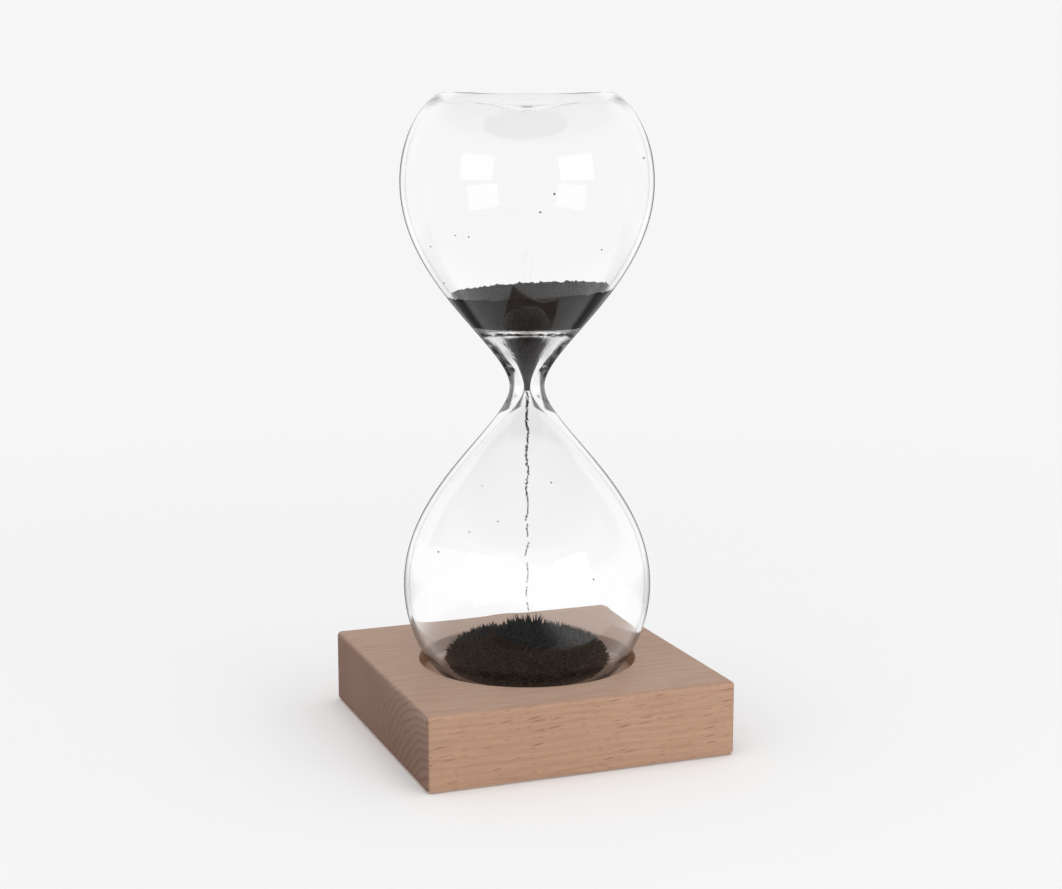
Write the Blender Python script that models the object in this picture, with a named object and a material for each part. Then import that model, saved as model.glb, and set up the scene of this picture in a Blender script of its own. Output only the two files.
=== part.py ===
"""Magnetic hourglass: a blown glass vessel of iron filings that stands in a wooden block with a magnet.

Lengths are in metres, +Z is up, and the origin is the middle of the block's underside.
The glass pieces are drawn about the neck: their own zero height is the middle of the neck.
"""

import math

import bmesh
import bpy
from mathutils import Vector, noise

MM = 0.001

# Wooden block
BLOCK_SIDE = 80 * MM
BLOCK_HEIGHT = 19 * MM
BLOCK_EDGE_RADIUS = 1.2 * MM
SEAT_RADIUS = 27.8 * MM
SEAT_DEPTH = 4.5 * MM
SEAT_LIP_RADIUS = 0.5 * MM

# Magnet and the felt disc below it
MAGNET_RADIUS = 20 * MM
MAGNET_THICKNESS = 8 * MM
MAGNET_CHAMFER = 0.6 * MM
COVER_RADIUS = 23 * MM
COVER_THICKNESS = 1.5 * MM
COVER_EDGE_RADIUS = 0.4 * MM
COVER_SETBACK = 0.2 * MM

# Outside of the glass: reaches are measured from the middle of the neck, along the axis
NECK_RADIUS = 4.4 * MM
BULB_RADIUS = 31.6 * MM
BULB_REACH = 51 * MM
END_REACH = 73 * MM
LOWER_END_REACH = 74.5 * MM
STANDING_RING_RADIUS = 20.5 * MM
PUNT_RADIUS = 13.5 * MM
PUNT_DEPTH = 3.2 * MM
NECK_FLARE = 10 * MM
SHOULDER_FULLNESS = 25 * MM
CROWN_FULLNESS = 14 * MM
CORNER_FULLNESS = 3 * MM

# Inside of the glass
WALL = 1.2 * MM
ORIFICE_RADIUS = 0.8 * MM
THROAT_LENGTH = 4.5 * MM
FUNNEL_LIP_RADIUS = 8.5 * MM
FUNNEL_LIP_ROUNDING = 2.5 * MM
FUNNEL_REACH = 15.5 * MM
BOWL_CORNER = 2.5 * MM
TRUMPET_BEND = 7 * MM
TRUMPET_THROAT = 4 * MM
FILL_HOLE_RADIUS = 1.6 * MM
SEAL_BEAD_RADIUS = 2.6 * MM
SEAL_BEAD_HEIGHT = 0.9 * MM

# Filings
UPPER_SAND_REACH = 24 * MM
UPPER_SAND_TILT = math.radians(3)
UPPER_SAND_TILT_TOWARDS = math.radians(-20)
UPPER_SAND_ROUGHNESS = 0.35 * MM
PLUG_DROP = 1 * MM
STREAM_END_RADIUS = 0.3 * MM
STREAM_WANDER = 0.35 * MM
STREAM_WAVELENGTH = 11 * MM
HEAP_RADIUS = 20.5 * MM
HEAP_RING_RADIUS = 14.5 * MM
HEAP_RING_HEIGHT = 8.1 * MM
HEAP_VALLEY_DEPTH = 1 * MM
HEAP_CROWN_RADIUS = 6.6 * MM
HEAP_CROWN_HEIGHT = 4.8 * MM
HEAP_CELL_SPREAD = 1.25
HEAP_CELL_JITTER = 0.35 * MM
NEEDLE_LENGTH = 1.8 * MM
NEEDLE_INSET = 0.55 * MM
NEEDLE_VARIATION = 0.5
NOISE_SEED = 7

# Clearances
FIT_GAP = 0.3 * MM
SAND_GAP = 0.3 * MM

# Facet counts
BLOCK_STEPS = 64
GLASS_STEPS = 32
BEAD_STEPS = 16
CURVE_POINTS = 8
SHOULDER_POINTS = 12
HEAP_CELLS = 20
STREAM_POINTS = 40

# Places that follow from the sizes above
SEAT_FLOOR = BLOCK_HEIGHT - SEAT_DEPTH
COVER_LEDGE = COVER_SETBACK + COVER_THICKNESS + FIT_GAP
POCKET_ROOF = COVER_LEDGE + MAGNET_THICKNESS + FIT_GAP
NECK_HEIGHT = SEAT_FLOOR + FIT_GAP + LOWER_END_REACH


def clear_scene():
    """Remove whatever objects the scene holds."""
    for item in list(bpy.data.objects):
        bpy.data.objects.remove(item)


def make_material(name, colour, roughness, metallic=0.0, transmission=0.0):
    """A Principled material with one colour."""
    material = bpy.data.materials.new(name)
    material.use_nodes = True
    shader = material.node_tree.nodes["Principled BSDF"]
    shader.inputs["Base Color"].default_value = (*colour, 1.0)
    shader.inputs["Roughness"].default_value = roughness
    shader.inputs["Metallic"].default_value = metallic
    shader.inputs["Transmission Weight"].default_value = transmission
    return material


def add_object(name, bm, material=None, smooth=True):
    """Turn a bmesh into a named object."""
    mesh = bpy.data.meshes.new(name)
    bm.to_mesh(mesh)
    bm.free()
    if smooth:
        mesh.shade_smooth()
        mesh.set_sharp_from_angle(angle=math.radians(35))
    if material:
        mesh.materials.append(material)
    item = bpy.data.objects.new(name, mesh)
    bpy.context.collection.objects.link(item)
    return item


def turn(outline, steps):
    """Spin an outline of (radius, height) points about the Z axis into a closed bmesh."""
    bm = bmesh.new()
    verts = [bm.verts.new((radius, 0.0, height)) for radius, height in outline]
    edges = [bm.edges.new(pair) for pair in zip(verts, verts[1:])]
    bmesh.ops.spin(bm, geom=verts + edges, cent=(0, 0, 0), axis=(0, 0, 1),
                   angle=math.tau, steps=steps, use_merge=True)
    bmesh.ops.remove_doubles(bm, verts=bm.verts, dist=0.001 * MM)
    bmesh.ops.recalc_face_normals(bm, faces=bm.faces)
    return bm


def bezier(start, leave, arrive, end, share):
    """A point on a cubic curve between two (radius, height) points."""
    rest = 1 - share
    weights = (rest ** 3, 3 * rest ** 2 * share, 3 * rest * share ** 2, share ** 3)
    points = (start, leave, arrive, end)
    return tuple(sum(w * p[i] for w, p in zip(weights, points)) for i in range(2))


def sample(curve, count=CURVE_POINTS, last=1.0):
    """Points spread evenly along a curve's share, from 0 to last."""
    return [curve(last * i / count) for i in range(count + 1)]


def shifted(points, distance):
    """Move an outline sideways, to the left of its own direction."""
    moved = []
    for i, (radius, height) in enumerate(points):
        before = points[max(i - 1, 0)]
        after = points[min(i + 1, len(points) - 1)]
        along = Vector((after[0] - before[0], after[1] - before[1])).normalized()
        moved.append((radius - along.y * distance, height + along.x * distance))
    return moved


def height_at(points, radius):
    """Height of an outline at a radius, where the radius only falls along it."""
    for (r0, h0), (r1, h1) in zip(points, points[1:]):
        if r1 <= radius <= r0:
            return h0 + (h1 - h0) * (r0 - radius) / max(r0 - r1, MM * MM)
    return points[-1][1]


def radius_at(points, height):
    """Radius of an outline at a height, where the height only rises along it."""
    for (r0, h0), (r1, h1) in zip(points, points[1:]):
        if h0 <= height <= h1:
            return r0 + (r1 - r0) * (height - h0) / max(h1 - h0, MM * MM)
    return points[-1][0]


def punt_height(radius):
    """Height of the end's dent below the standing ring."""
    if radius >= PUNT_RADIUS:
        return 0.0
    return PUNT_DEPTH * (1 + math.cos(math.pi * radius / PUNT_RADIUS)) / 2


def outer_shoulder(share):
    """Outside of a bulb from its widest circle to the middle of the neck."""
    return bezier((BULB_RADIUS, BULB_REACH), (BULB_RADIUS, BULB_REACH - SHOULDER_FULLNESS),
                  (NECK_RADIUS, NECK_FLARE), (NECK_RADIUS, 0.0), share)


def end_curve(inset, reach):
    """Bulb from its widest circle to the standing ring; inset is 0 outside and the wall inside."""
    widest = BULB_RADIUS - inset
    ring = STANDING_RING_RADIUS - inset / 2

    def curve(share):
        return bezier((widest, BULB_REACH), (widest, BULB_REACH + CROWN_FULLNESS),
                      (ring + CORNER_FULLNESS, reach), (ring, reach), share)

    return curve


def end_points(inset, centre_radius, full_reach=END_REACH):
    """Half outline of an end, from the widest circle in to the given radius of the punt."""
    reach = full_reach - inset
    points = sample(end_curve(inset, reach))
    for i in range(CURVE_POINTS // 2 + 1):
        radius = PUNT_RADIUS + (centre_radius - PUNT_RADIUS) * i / (CURVE_POINTS // 2)
        points.append((radius, reach - punt_height(radius)))
    return points


def thin_wall():
    """Inside of a bulb from its widest circle to where its mouth begins, and the wall's slope there."""
    wall_line = shifted(sample(outer_shoulder, 4 * CURVE_POINTS), -WALL)
    thin = [point for point in wall_line if point[1] > FUNNEL_REACH + BOWL_CORNER]
    last, before = thin[-1], thin[-2]
    return thin, (before[0] - last[0]) / (before[1] - last[1])


def upper_inside():
    """Inside of the upper bulb from its widest circle, by bowl and funnel, to the middle of the neck."""
    thin, slope = thin_wall()
    last = thin[-1]
    elbow = (last[0] - slope * (last[1] - FUNNEL_REACH), FUNNEL_REACH)
    lip = (FUNNEL_LIP_RADIUS, FUNNEL_REACH)
    throat = (ORIFICE_RADIUS, THROAT_LENGTH)
    bowl = sample(lambda share: bezier(last, elbow, elbow, lip, share), CURVE_POINTS // 2)
    funnel = sample(lambda share: bezier(lip, (FUNNEL_LIP_RADIUS - FUNNEL_LIP_ROUNDING, FUNNEL_REACH),
                                         throat, (ORIFICE_RADIUS, 0.0), share), CURVE_POINTS)
    return thin[:-1:4] + bowl + funnel[1:]


def flipped(points):
    """The same outline in the other bulb."""
    return [(radius, -height) for radius, height in points]


def lower_end(inset):
    """Half outline of the end that stands in the block, from the widest circle in to its middle."""
    return flipped(end_points(inset, 0.0, LOWER_END_REACH))


def lower_inside():
    """Inside of the lower bulb from the middle of the neck, by a trumpet mouth, to its widest circle."""
    thin, slope = thin_wall()
    last = thin[-1]
    bend = (last[0] - slope * (last[1] - TRUMPET_BEND), TRUMPET_BEND)
    mouth = sample(lambda share: bezier(last, bend, (ORIFICE_RADIUS, TRUMPET_THROAT),
                                        (ORIFICE_RADIUS, 0.0), share), CURVE_POINTS + CURVE_POINTS // 2)
    return flipped(thin[:-1:4] + mouth)[::-1]


def build_block(material):
    """Block with eased edges, the glass's seat in its top and the magnet's pocket in its underside."""
    bm = bmesh.new()
    bmesh.ops.create_cube(bm, size=1.0)
    bmesh.ops.scale(bm, verts=bm.verts, vec=(BLOCK_SIDE, BLOCK_SIDE, BLOCK_HEIGHT))
    bmesh.ops.translate(bm, verts=bm.verts, vec=(0, 0, BLOCK_HEIGHT / 2))
    bmesh.ops.bevel(bm, geom=bm.edges[:], offset=BLOCK_EDGE_RADIUS, segments=3, profile=0.5,
                    affect="EDGES")
    block = add_object("base_block", bm, material)

    lip = [(SEAT_RADIUS + SEAT_LIP_RADIUS * (1 - math.cos(angle)),
            BLOCK_HEIGHT - SEAT_LIP_RADIUS * (1 - math.sin(angle)))
           for angle in (0, math.pi / 4, math.pi / 2)]
    above = BLOCK_HEIGHT + BLOCK_EDGE_RADIUS
    seat = [(0, SEAT_FLOOR), (SEAT_RADIUS, SEAT_FLOOR), *lip, (lip[-1][0], above), (0, above)]
    cover_hole = COVER_RADIUS + FIT_GAP
    magnet_hole = MAGNET_RADIUS + FIT_GAP
    below = -BLOCK_EDGE_RADIUS
    pocket = [(0, below), (cover_hole, below), (cover_hole, COVER_LEDGE), (magnet_hole, COVER_LEDGE),
              (magnet_hole, POCKET_ROOF), (0, POCKET_ROOF)]
    for name, outline in (("seat_cutter", seat), ("pocket_cutter", pocket)):
        cutter = add_object(name, turn(outline, BLOCK_STEPS))
        cutter.hide_render = True
        cutter.display_type = "WIRE"
        cut = block.modifiers.new(name, "BOOLEAN")
        cut.operation = "DIFFERENCE"
        cut.solver = "EXACT"
        cut.object = cutter


def build_magnet(material):
    """Ferrite disc with chamfered edges, held up against the pocket's roof."""
    low, high = COVER_LEDGE, COVER_LEDGE + MAGNET_THICKNESS
    inner = MAGNET_RADIUS - MAGNET_CHAMFER
    outline = [(0, low), (inner, low), (MAGNET_RADIUS, low + MAGNET_CHAMFER),
               (MAGNET_RADIUS, high - MAGNET_CHAMFER), (inner, high), (0, high)]
    add_object("magnet", turn(outline, BLOCK_STEPS), material)


def build_cover(material):
    """Felt disc let into the underside, a little short of the surface that the block stands on."""
    low, high = COVER_SETBACK, COVER_SETBACK + COVER_THICKNESS
    inner = COVER_RADIUS - COVER_EDGE_RADIUS
    outline = [(0, low), (inner, low), (COVER_RADIUS, low + COVER_EDGE_RADIUS),
               (COVER_RADIUS, high), (0, high)]
    add_object("pocket_cover", turn(outline, BLOCK_STEPS), material)


def build_glass(material, carrier):
    """One blown body: outside from the lower punt to the filling hole, then inside back down."""
    shoulder = sample(outer_shoulder, SHOULDER_POINTS)
    outside = (lower_end(0.0)[::-1][:-1] + flipped(shoulder)[:-1]
               + shoulder[::-1][:-1] + end_points(0.0, FILL_HOLE_RADIUS))
    inside = (end_points(WALL, FILL_HOLE_RADIUS)[::-1][:-1] + upper_inside()[:-1]
              + lower_inside()[:-1] + lower_end(WALL))
    glass = add_object("glass_vessel", turn(outside + inside, GLASS_STEPS), material)
    glass.parent = carrier


def build_seal(material, carrier):
    """Pin through the filling hole with a low bead over it."""
    punt = end_points(0.0, FILL_HOLE_RADIUS)
    bead_base = height_at(punt, SEAL_BEAD_RADIUS) + FIT_GAP
    pin = FILL_HOLE_RADIUS - FIT_GAP
    pin_end = punt[-1][1] - WALL
    outline = [(0, pin_end), (pin, pin_end), (pin, bead_base)]
    for i in range(5):
        angle = math.pi / 2 * i / 4
        outline.append((SEAL_BEAD_RADIUS * math.cos(angle), bead_base + SEAL_BEAD_HEIGHT * math.sin(angle)))
    seal = add_object("fill_seal", turn(outline, BEAD_STEPS), material)
    seal.parent = carrier


def sand_wall():
    """Where sand can lie against the glass, from the lower bulb up through the neck to the upper one."""
    return shifted(lower_inside()[::-1][:-1] + upper_inside()[::-1], SAND_GAP)


def build_upper_sand(material, carrier):
    """Sand in the upper bulb: its sides follow the glass and its rough top tilts to one side."""
    wall = sand_wall()
    level = UPPER_SAND_REACH
    low = -PLUG_DROP
    sides = [(radius_at(wall, low), low)] + [p for p in wall if low < p[1] < level]
    rim = radius_at(wall, level)
    sides.append((rim, level))
    rings = CURVE_POINTS
    top = [(rim * (1 - i / rings), level) for i in range(1, rings + 1)]
    bm = turn([(0, low)] + sides + top, GLASS_STEPS)
    toward = Vector((math.cos(UPPER_SAND_TILT_TOWARDS), math.sin(UPPER_SAND_TILT_TOWARDS), 0))
    slope = math.tan(UPPER_SAND_TILT)
    for vert in bm.verts:
        if vert.co.z <= FUNNEL_REACH:
            continue
        flat = Vector((vert.co.x, vert.co.y, 0))
        radius = flat.length
        share = (vert.co.z - FUNNEL_REACH) / (level - FUNNEL_REACH)
        lift = share * slope * flat.dot(toward)
        on_wall = radius > radius_at(wall, vert.co.z) - MM * MM
        edge = level + slope * (flat.normalized().dot(toward) if radius else 0.0) * rim
        height = vert.co.z + lift
        if on_wall:
            scale = radius_at(wall, height) / radius
        else:
            scale = radius_at(wall, edge) / rim
            height += UPPER_SAND_ROUGHNESS * noise.noise(vert.co / (2 * MM))
        vert.co = Vector((vert.co.x * scale, vert.co.y * scale, height))
    sand = add_object("upper_sand", bm, material)
    sand.parent = carrier


def heap_floor():
    """Inside of the lower end from the widest circle to its middle, raised by the sand's clearance."""
    return [(radius, height + SAND_GAP) for radius, height in lower_end(WALL)]


def heap_top(radius, edge):
    """Height of the heap: a rounded ring, a shallow valley and a crown in the middle."""
    outer = max(radius - HEAP_RING_RADIUS, 0.0) / (HEAP_RADIUS - HEAP_RING_RADIUS)
    ring = HEAP_RING_HEIGHT * math.sqrt(max(1 - outer ** 2, 0.0))
    inner = max(1 - radius / HEAP_RING_RADIUS, 0.0)
    valley = HEAP_VALLEY_DEPTH * math.sin(min(inner * 2, 1.0) * math.pi / 2)
    crown = HEAP_CROWN_HEIGHT * math.exp(-(radius / HEAP_CROWN_RADIUS) ** 4)
    return edge + ring - valley + crown


def disc_place(across, along):
    """Share of the radius and angle on a disc for a place on a square that runs from -1 to 1 both ways."""
    if abs(across) > abs(along):
        share, angle = across, math.pi / 4 * along / across
    elif along:
        share, angle = along, math.pi / 2 - math.pi / 4 * across / along
    else:
        share, angle = 0.0, 0.0
    return share, angle


def heap_sheet(height_of):
    """A round sheet of uneven cells as wide as the heap, at the height given for each radius."""
    bm = bmesh.new()
    bmesh.ops.create_grid(bm, x_segments=HEAP_CELLS, y_segments=HEAP_CELLS, size=1.0)
    for vert in bm.verts:
        share, angle = disc_place(vert.co.x, vert.co.y)
        radius = HEAP_RADIUS * math.copysign(1 - (1 - abs(share)) ** HEAP_CELL_SPREAD, share)
        spot = Vector((radius * math.cos(angle), radius * math.sin(angle), 0))
        if vert.is_boundary:
            spot.z = height_of(HEAP_RADIUS)
        else:
            drift = noise.noise_vector(spot / MM)
            spot += Vector((drift.x, drift.y, 0)) * HEAP_CELL_JITTER
            spot.z = height_of(spot.length)
        vert.co = spot
    return bm


def draw_needles(bm):
    """Draw every second cell out into a needle, shorter at the heap's foot."""
    needles = []
    for number, face in enumerate(bm.faces):
        centre = face.calc_center_median()
        foot = HEAP_RADIUS - math.hypot(centre.x, centre.y)
        column, row = divmod(number, HEAP_CELLS)
        if (column + row) % 2 == 0 and foot > NEEDLE_INSET:
            needles.append(face)
    bmesh.ops.inset_individual(bm, faces=needles, thickness=NEEDLE_INSET, use_even_offset=True)
    tips = bmesh.ops.poke(bm, faces=needles)["verts"]
    bm.normal_update()
    for tip in tips:
        foot = HEAP_RADIUS - math.hypot(tip.co.x, tip.co.y)
        fade = min(1.0, foot / NEEDLE_LENGTH)
        vary = 1 + NEEDLE_VARIATION * noise.noise(tip.co / MM)
        tip.co += tip.normal * NEEDLE_LENGTH * fade * vary


def build_heap(material, carrier):
    """Heap over the magnet: its underside follows the glass and its top bristles with needles."""
    floor = heap_floor()
    edge = height_at(floor, HEAP_RADIUS)
    bm = heap_sheet(lambda radius: heap_top(radius, edge))
    draw_needles(bm)
    under = heap_sheet(lambda radius: height_at(floor, radius))
    bmesh.ops.reverse_faces(under, faces=under.faces)
    under_mesh = bpy.data.meshes.new("heap_underside")
    under.to_mesh(under_mesh)
    under.free()
    bm.from_mesh(under_mesh)
    bpy.data.meshes.remove(under_mesh)
    bmesh.ops.remove_doubles(bm, verts=bm.verts, dist=0.001 * MM)
    heap = add_object("lower_sand", bm, material, smooth=False)
    heap.parent = carrier


def build_stream(material, carrier):
    """Falling thread from the plug to the crown, which wanders and thins on its way down."""
    start = -PLUG_DROP - SAND_GAP
    end = heap_top(0.0, height_at(heap_floor(), HEAP_RADIUS)) + SAND_GAP
    top_radius = ORIFICE_RADIUS - SAND_GAP
    curve = bpy.data.curves.new("sand_stream", "CURVE")
    curve.dimensions = "3D"
    curve.bevel_depth = top_radius
    curve.bevel_resolution = 1
    curve.use_fill_caps = True
    spline = curve.splines.new("POLY")
    spline.points.add(STREAM_POINTS - 1)
    for i, point in enumerate(spline.points):
        share = i / (STREAM_POINTS - 1)
        height = start + (end - start) * share
        turn_angle = (height - start) / STREAM_WAVELENGTH * math.tau
        reach = STREAM_WANDER * math.sin(math.pi * share)
        point.co = (reach * math.sin(turn_angle), reach * math.cos(1.7 * turn_angle), height, 1.0)
        pulse = 1 + 0.25 * math.sin(3.1 * turn_angle)
        point.radius = (1 + (STREAM_END_RADIUS / top_radius - 1) * share) * (pulse if 0 < share < 1 else 1)
    stream = bpy.data.objects.new("sand_stream", curve)
    curve.materials.append(material)
    bpy.context.collection.objects.link(stream)
    stream.parent = carrier


def main():
    """Build the block's pieces, then the glass's pieces on the empty that lifts them."""
    clear_scene()
    noise.seed_set(NOISE_SEED)
    beech = make_material("beech", (0.49, 0.29, 0.18), 0.55)
    ferrite = make_material("ferrite", (0.03, 0.03, 0.032), 0.6)
    felt = make_material("felt", (0.05, 0.045, 0.04), 0.95)
    glass = make_material("glass", (0.96, 0.98, 0.98), 0.02, transmission=1.0)
    filings = make_material("filings", (0.022, 0.02, 0.019), 0.55, metallic=0.4)

    build_block(beech)
    build_magnet(ferrite)
    build_cover(felt)

    carrier = bpy.data.objects.new("glass_carrier", None)
    carrier.location = (0, 0, NECK_HEIGHT)
    bpy.context.collection.objects.link(carrier)
    build_glass(glass, carrier)
    build_seal(glass, carrier)
    build_upper_sand(filings, carrier)
    build_stream(filings, carrier)
    build_heap(filings, carrier)


main()
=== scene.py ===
"""Looks of a magnetic hourglass: a clear double bulb, its iron filings and the beech block below."""
import logging
import math
from dataclasses import dataclass
from enum import Enum
from typing import Any, Callable, Optional, Sequence

import bmesh
import bpy
import numpy as np
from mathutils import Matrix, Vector, noise


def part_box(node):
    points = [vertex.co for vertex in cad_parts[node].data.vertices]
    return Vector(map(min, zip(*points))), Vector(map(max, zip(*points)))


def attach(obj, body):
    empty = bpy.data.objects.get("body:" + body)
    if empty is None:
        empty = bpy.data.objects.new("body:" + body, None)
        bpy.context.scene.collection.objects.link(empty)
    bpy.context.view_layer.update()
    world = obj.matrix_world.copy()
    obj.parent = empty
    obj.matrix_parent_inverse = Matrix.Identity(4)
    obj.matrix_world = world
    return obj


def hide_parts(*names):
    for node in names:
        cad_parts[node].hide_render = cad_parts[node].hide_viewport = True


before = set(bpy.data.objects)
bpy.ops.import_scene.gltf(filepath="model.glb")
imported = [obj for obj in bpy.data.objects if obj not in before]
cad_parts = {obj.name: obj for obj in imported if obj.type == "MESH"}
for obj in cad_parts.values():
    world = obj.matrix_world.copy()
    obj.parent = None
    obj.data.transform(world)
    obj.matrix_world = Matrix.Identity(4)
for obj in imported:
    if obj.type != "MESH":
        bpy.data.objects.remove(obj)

LOG = logging.getLogger("hourglass")
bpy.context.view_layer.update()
MM = 0.001
IMAGE_WIDTH = 1062

SHARP_ANGLE = math.radians(35)
POLE_RADIUS = 1e-7

Point = tuple[float, float]
Span = tuple[float, float]
Triple = tuple[float, float, float]
Colour = tuple[float, float, float, float]

# The photograph's heading, which the dark flag of the studio and the clinging filings also follow.
VIEW_AZIMUTH = math.radians(-20.75)
RIGHT = Vector((math.cos(VIEW_AZIMUTH), math.sin(VIEW_AZIMUTH), 0))
AHEAD = Vector((-math.sin(VIEW_AZIMUTH), math.cos(VIEW_AZIMUTH), 0))


class Body(Enum):
    """The two bodies that the pieces ride on."""

    BASE = "base"
    GLASS = "glass"


class Slot(Enum):
    """The record's material slots."""

    BEECH = "beech"
    FERRITE = "ferrite"
    FELT = "felt"
    GLASS = "glass"
    FILINGS = "filings"


class Bulb(Enum):
    """The two bulbs: a lipped funnel leads out of the upper one, a plain trumpet into the lower one."""

    UPPER = "upper"
    LOWER = "lower"


class Grain(Enum):
    """The small solids that a scatter plants."""

    NEEDLE = "needle"
    CHIP = "chip"


def tone(code: str) -> Colour:
    """Linear colour of a six-digit screen colour.

    Args:
        code: Red, green and blue as hexadecimal digits.

    Returns:
        The colour as linear red, green, blue and full alpha.
    """
    parts = [int(code[k:k + 2], 16) / 255 for k in (0, 2, 4)]
    linear = [c / 12.92 if c <= 0.04045 else ((c + 0.055) / 1.055) ** 2.4 for c in parts]
    return (linear[0], linear[1], linear[2], 1.0)


def grey(level: float) -> Colour:
    """A linear grey of that level."""
    return (level, level, level, 1.0)


def bezier(a: Point, b: Point, c: Point, d: Point, count: int) -> list[Point]:
    """Points along a cubic curve, both ends among them.

    Args:
        a, b, c, d: The curve's four control points.
        count: How many spans the curve is cut into.

    Returns:
        count + 1 points from a to d.
    """
    points = []
    for k in range(count + 1):
        t = k / count
        s = 1 - t
        w = (s ** 3, 3 * s * s * t, 3 * s * t * t, t ** 3)
        points.append(tuple(sum(v * p[i] for v, p in zip(w, (a, b, c, d))) for i in (0, 1)))
    return points


def smooth_step(low: float, high: float, value: float) -> float:
    """Eases from 0 at low to 1 at high."""
    t = min(max((value - low) / (high - low), 0.0), 1.0)
    return t * t * (3 - 2 * t)


def ring_angles(steps: int) -> list[float]:
    """Even angles round the vertical axis."""
    return [2 * math.pi * k / steps for k in range(steps)]


def on_ring(radius: float, angle: float, height: float) -> Vector:
    """The point at that radius, angle and height."""
    return Vector((radius * math.cos(angle), radius * math.sin(angle), height))


def quarter_turn(spans: int) -> list[Point]:
    """Sine and cosine of even angles over a quarter turn, both ends among them."""
    angles = [math.pi / 2 * k / spans for k in range(spans + 1)]
    return [(math.sin(a), math.cos(a)) for a in angles]


class Mesh:
    """Ways to make a mesh object that sits at the origin."""

    @staticmethod
    def placed(name: str, mesh: bpy.types.Mesh) -> bpy.types.Object:
        """Links a mesh into the scene as a new object."""
        made = bpy.data.objects.new(name, mesh)
        bpy.context.scene.collection.objects.link(made)
        return made

    @staticmethod
    def from_bmesh(name: str, bm: bmesh.types.BMesh) -> bpy.types.Object:
        """Turns an edited mesh into an object, and frees it."""
        mesh = bpy.data.meshes.new(name)
        bm.to_mesh(mesh)
        bm.free()
        return Mesh.placed(name, mesh)

    @staticmethod
    def from_rings(name: str, rings: Sequence[Sequence[Vector]]) -> bpy.types.Object:
        """Skins a row of rings; a ring of one point closes that end.

        Args:
            name: The object's name.
            rings: Rings of equal length, or single points at the ends.

        Returns:
            A smooth object whose faces point outwards.
        """
        bm = bmesh.new()
        rows = [[bm.verts.new(p) for p in ring] for ring in rings]
        for low, high in zip(rows, rows[1:]):
            count = max(len(low), len(high))
            for k in range(count):
                corners = []
                for row, at in ((low, k), (low, k + 1), (high, k + 1), (high, k)):
                    corner = row[at % len(row)]
                    if corner not in corners:
                        corners.append(corner)
                bm.faces.new(corners)
        bmesh.ops.recalc_face_normals(bm, faces=bm.faces)
        for face in bm.faces:
            face.smooth = True
        return Mesh.from_bmesh(name, bm)

    @staticmethod
    def turned(name: str, profile: Sequence[Point], steps: int) -> bpy.types.Object:
        """Turns a profile of radius and height round the vertical axis.

        Args:
            name: The object's name.
            profile: Points of radius and height; a zero radius is a pole.
            steps: Faces round the axis.

        Returns:
            The turned object.
        """
        rings = []
        for radius, height in profile:
            if radius < POLE_RADIUS:
                rings.append([Vector((0, 0, height))])
            else:
                rings.append([on_ring(radius, a, height) for a in ring_angles(steps)])
        return Mesh.from_rings(name, rings)

    @staticmethod
    def baked(source: bpy.types.Object, name: str) -> bpy.types.Object:
        """A plain copy of an object with its modifiers worked in."""
        graph = bpy.context.evaluated_depsgraph_get()
        mesh = bpy.data.meshes.new_from_object(source.evaluated_get(graph))
        mesh.name = name
        return Mesh.placed(name, mesh)

    @staticmethod
    def drop(made: bpy.types.Object) -> None:
        """Removes a helper object and its mesh."""
        mesh = made.data
        bpy.data.objects.remove(made)
        bpy.data.meshes.remove(mesh)


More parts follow.
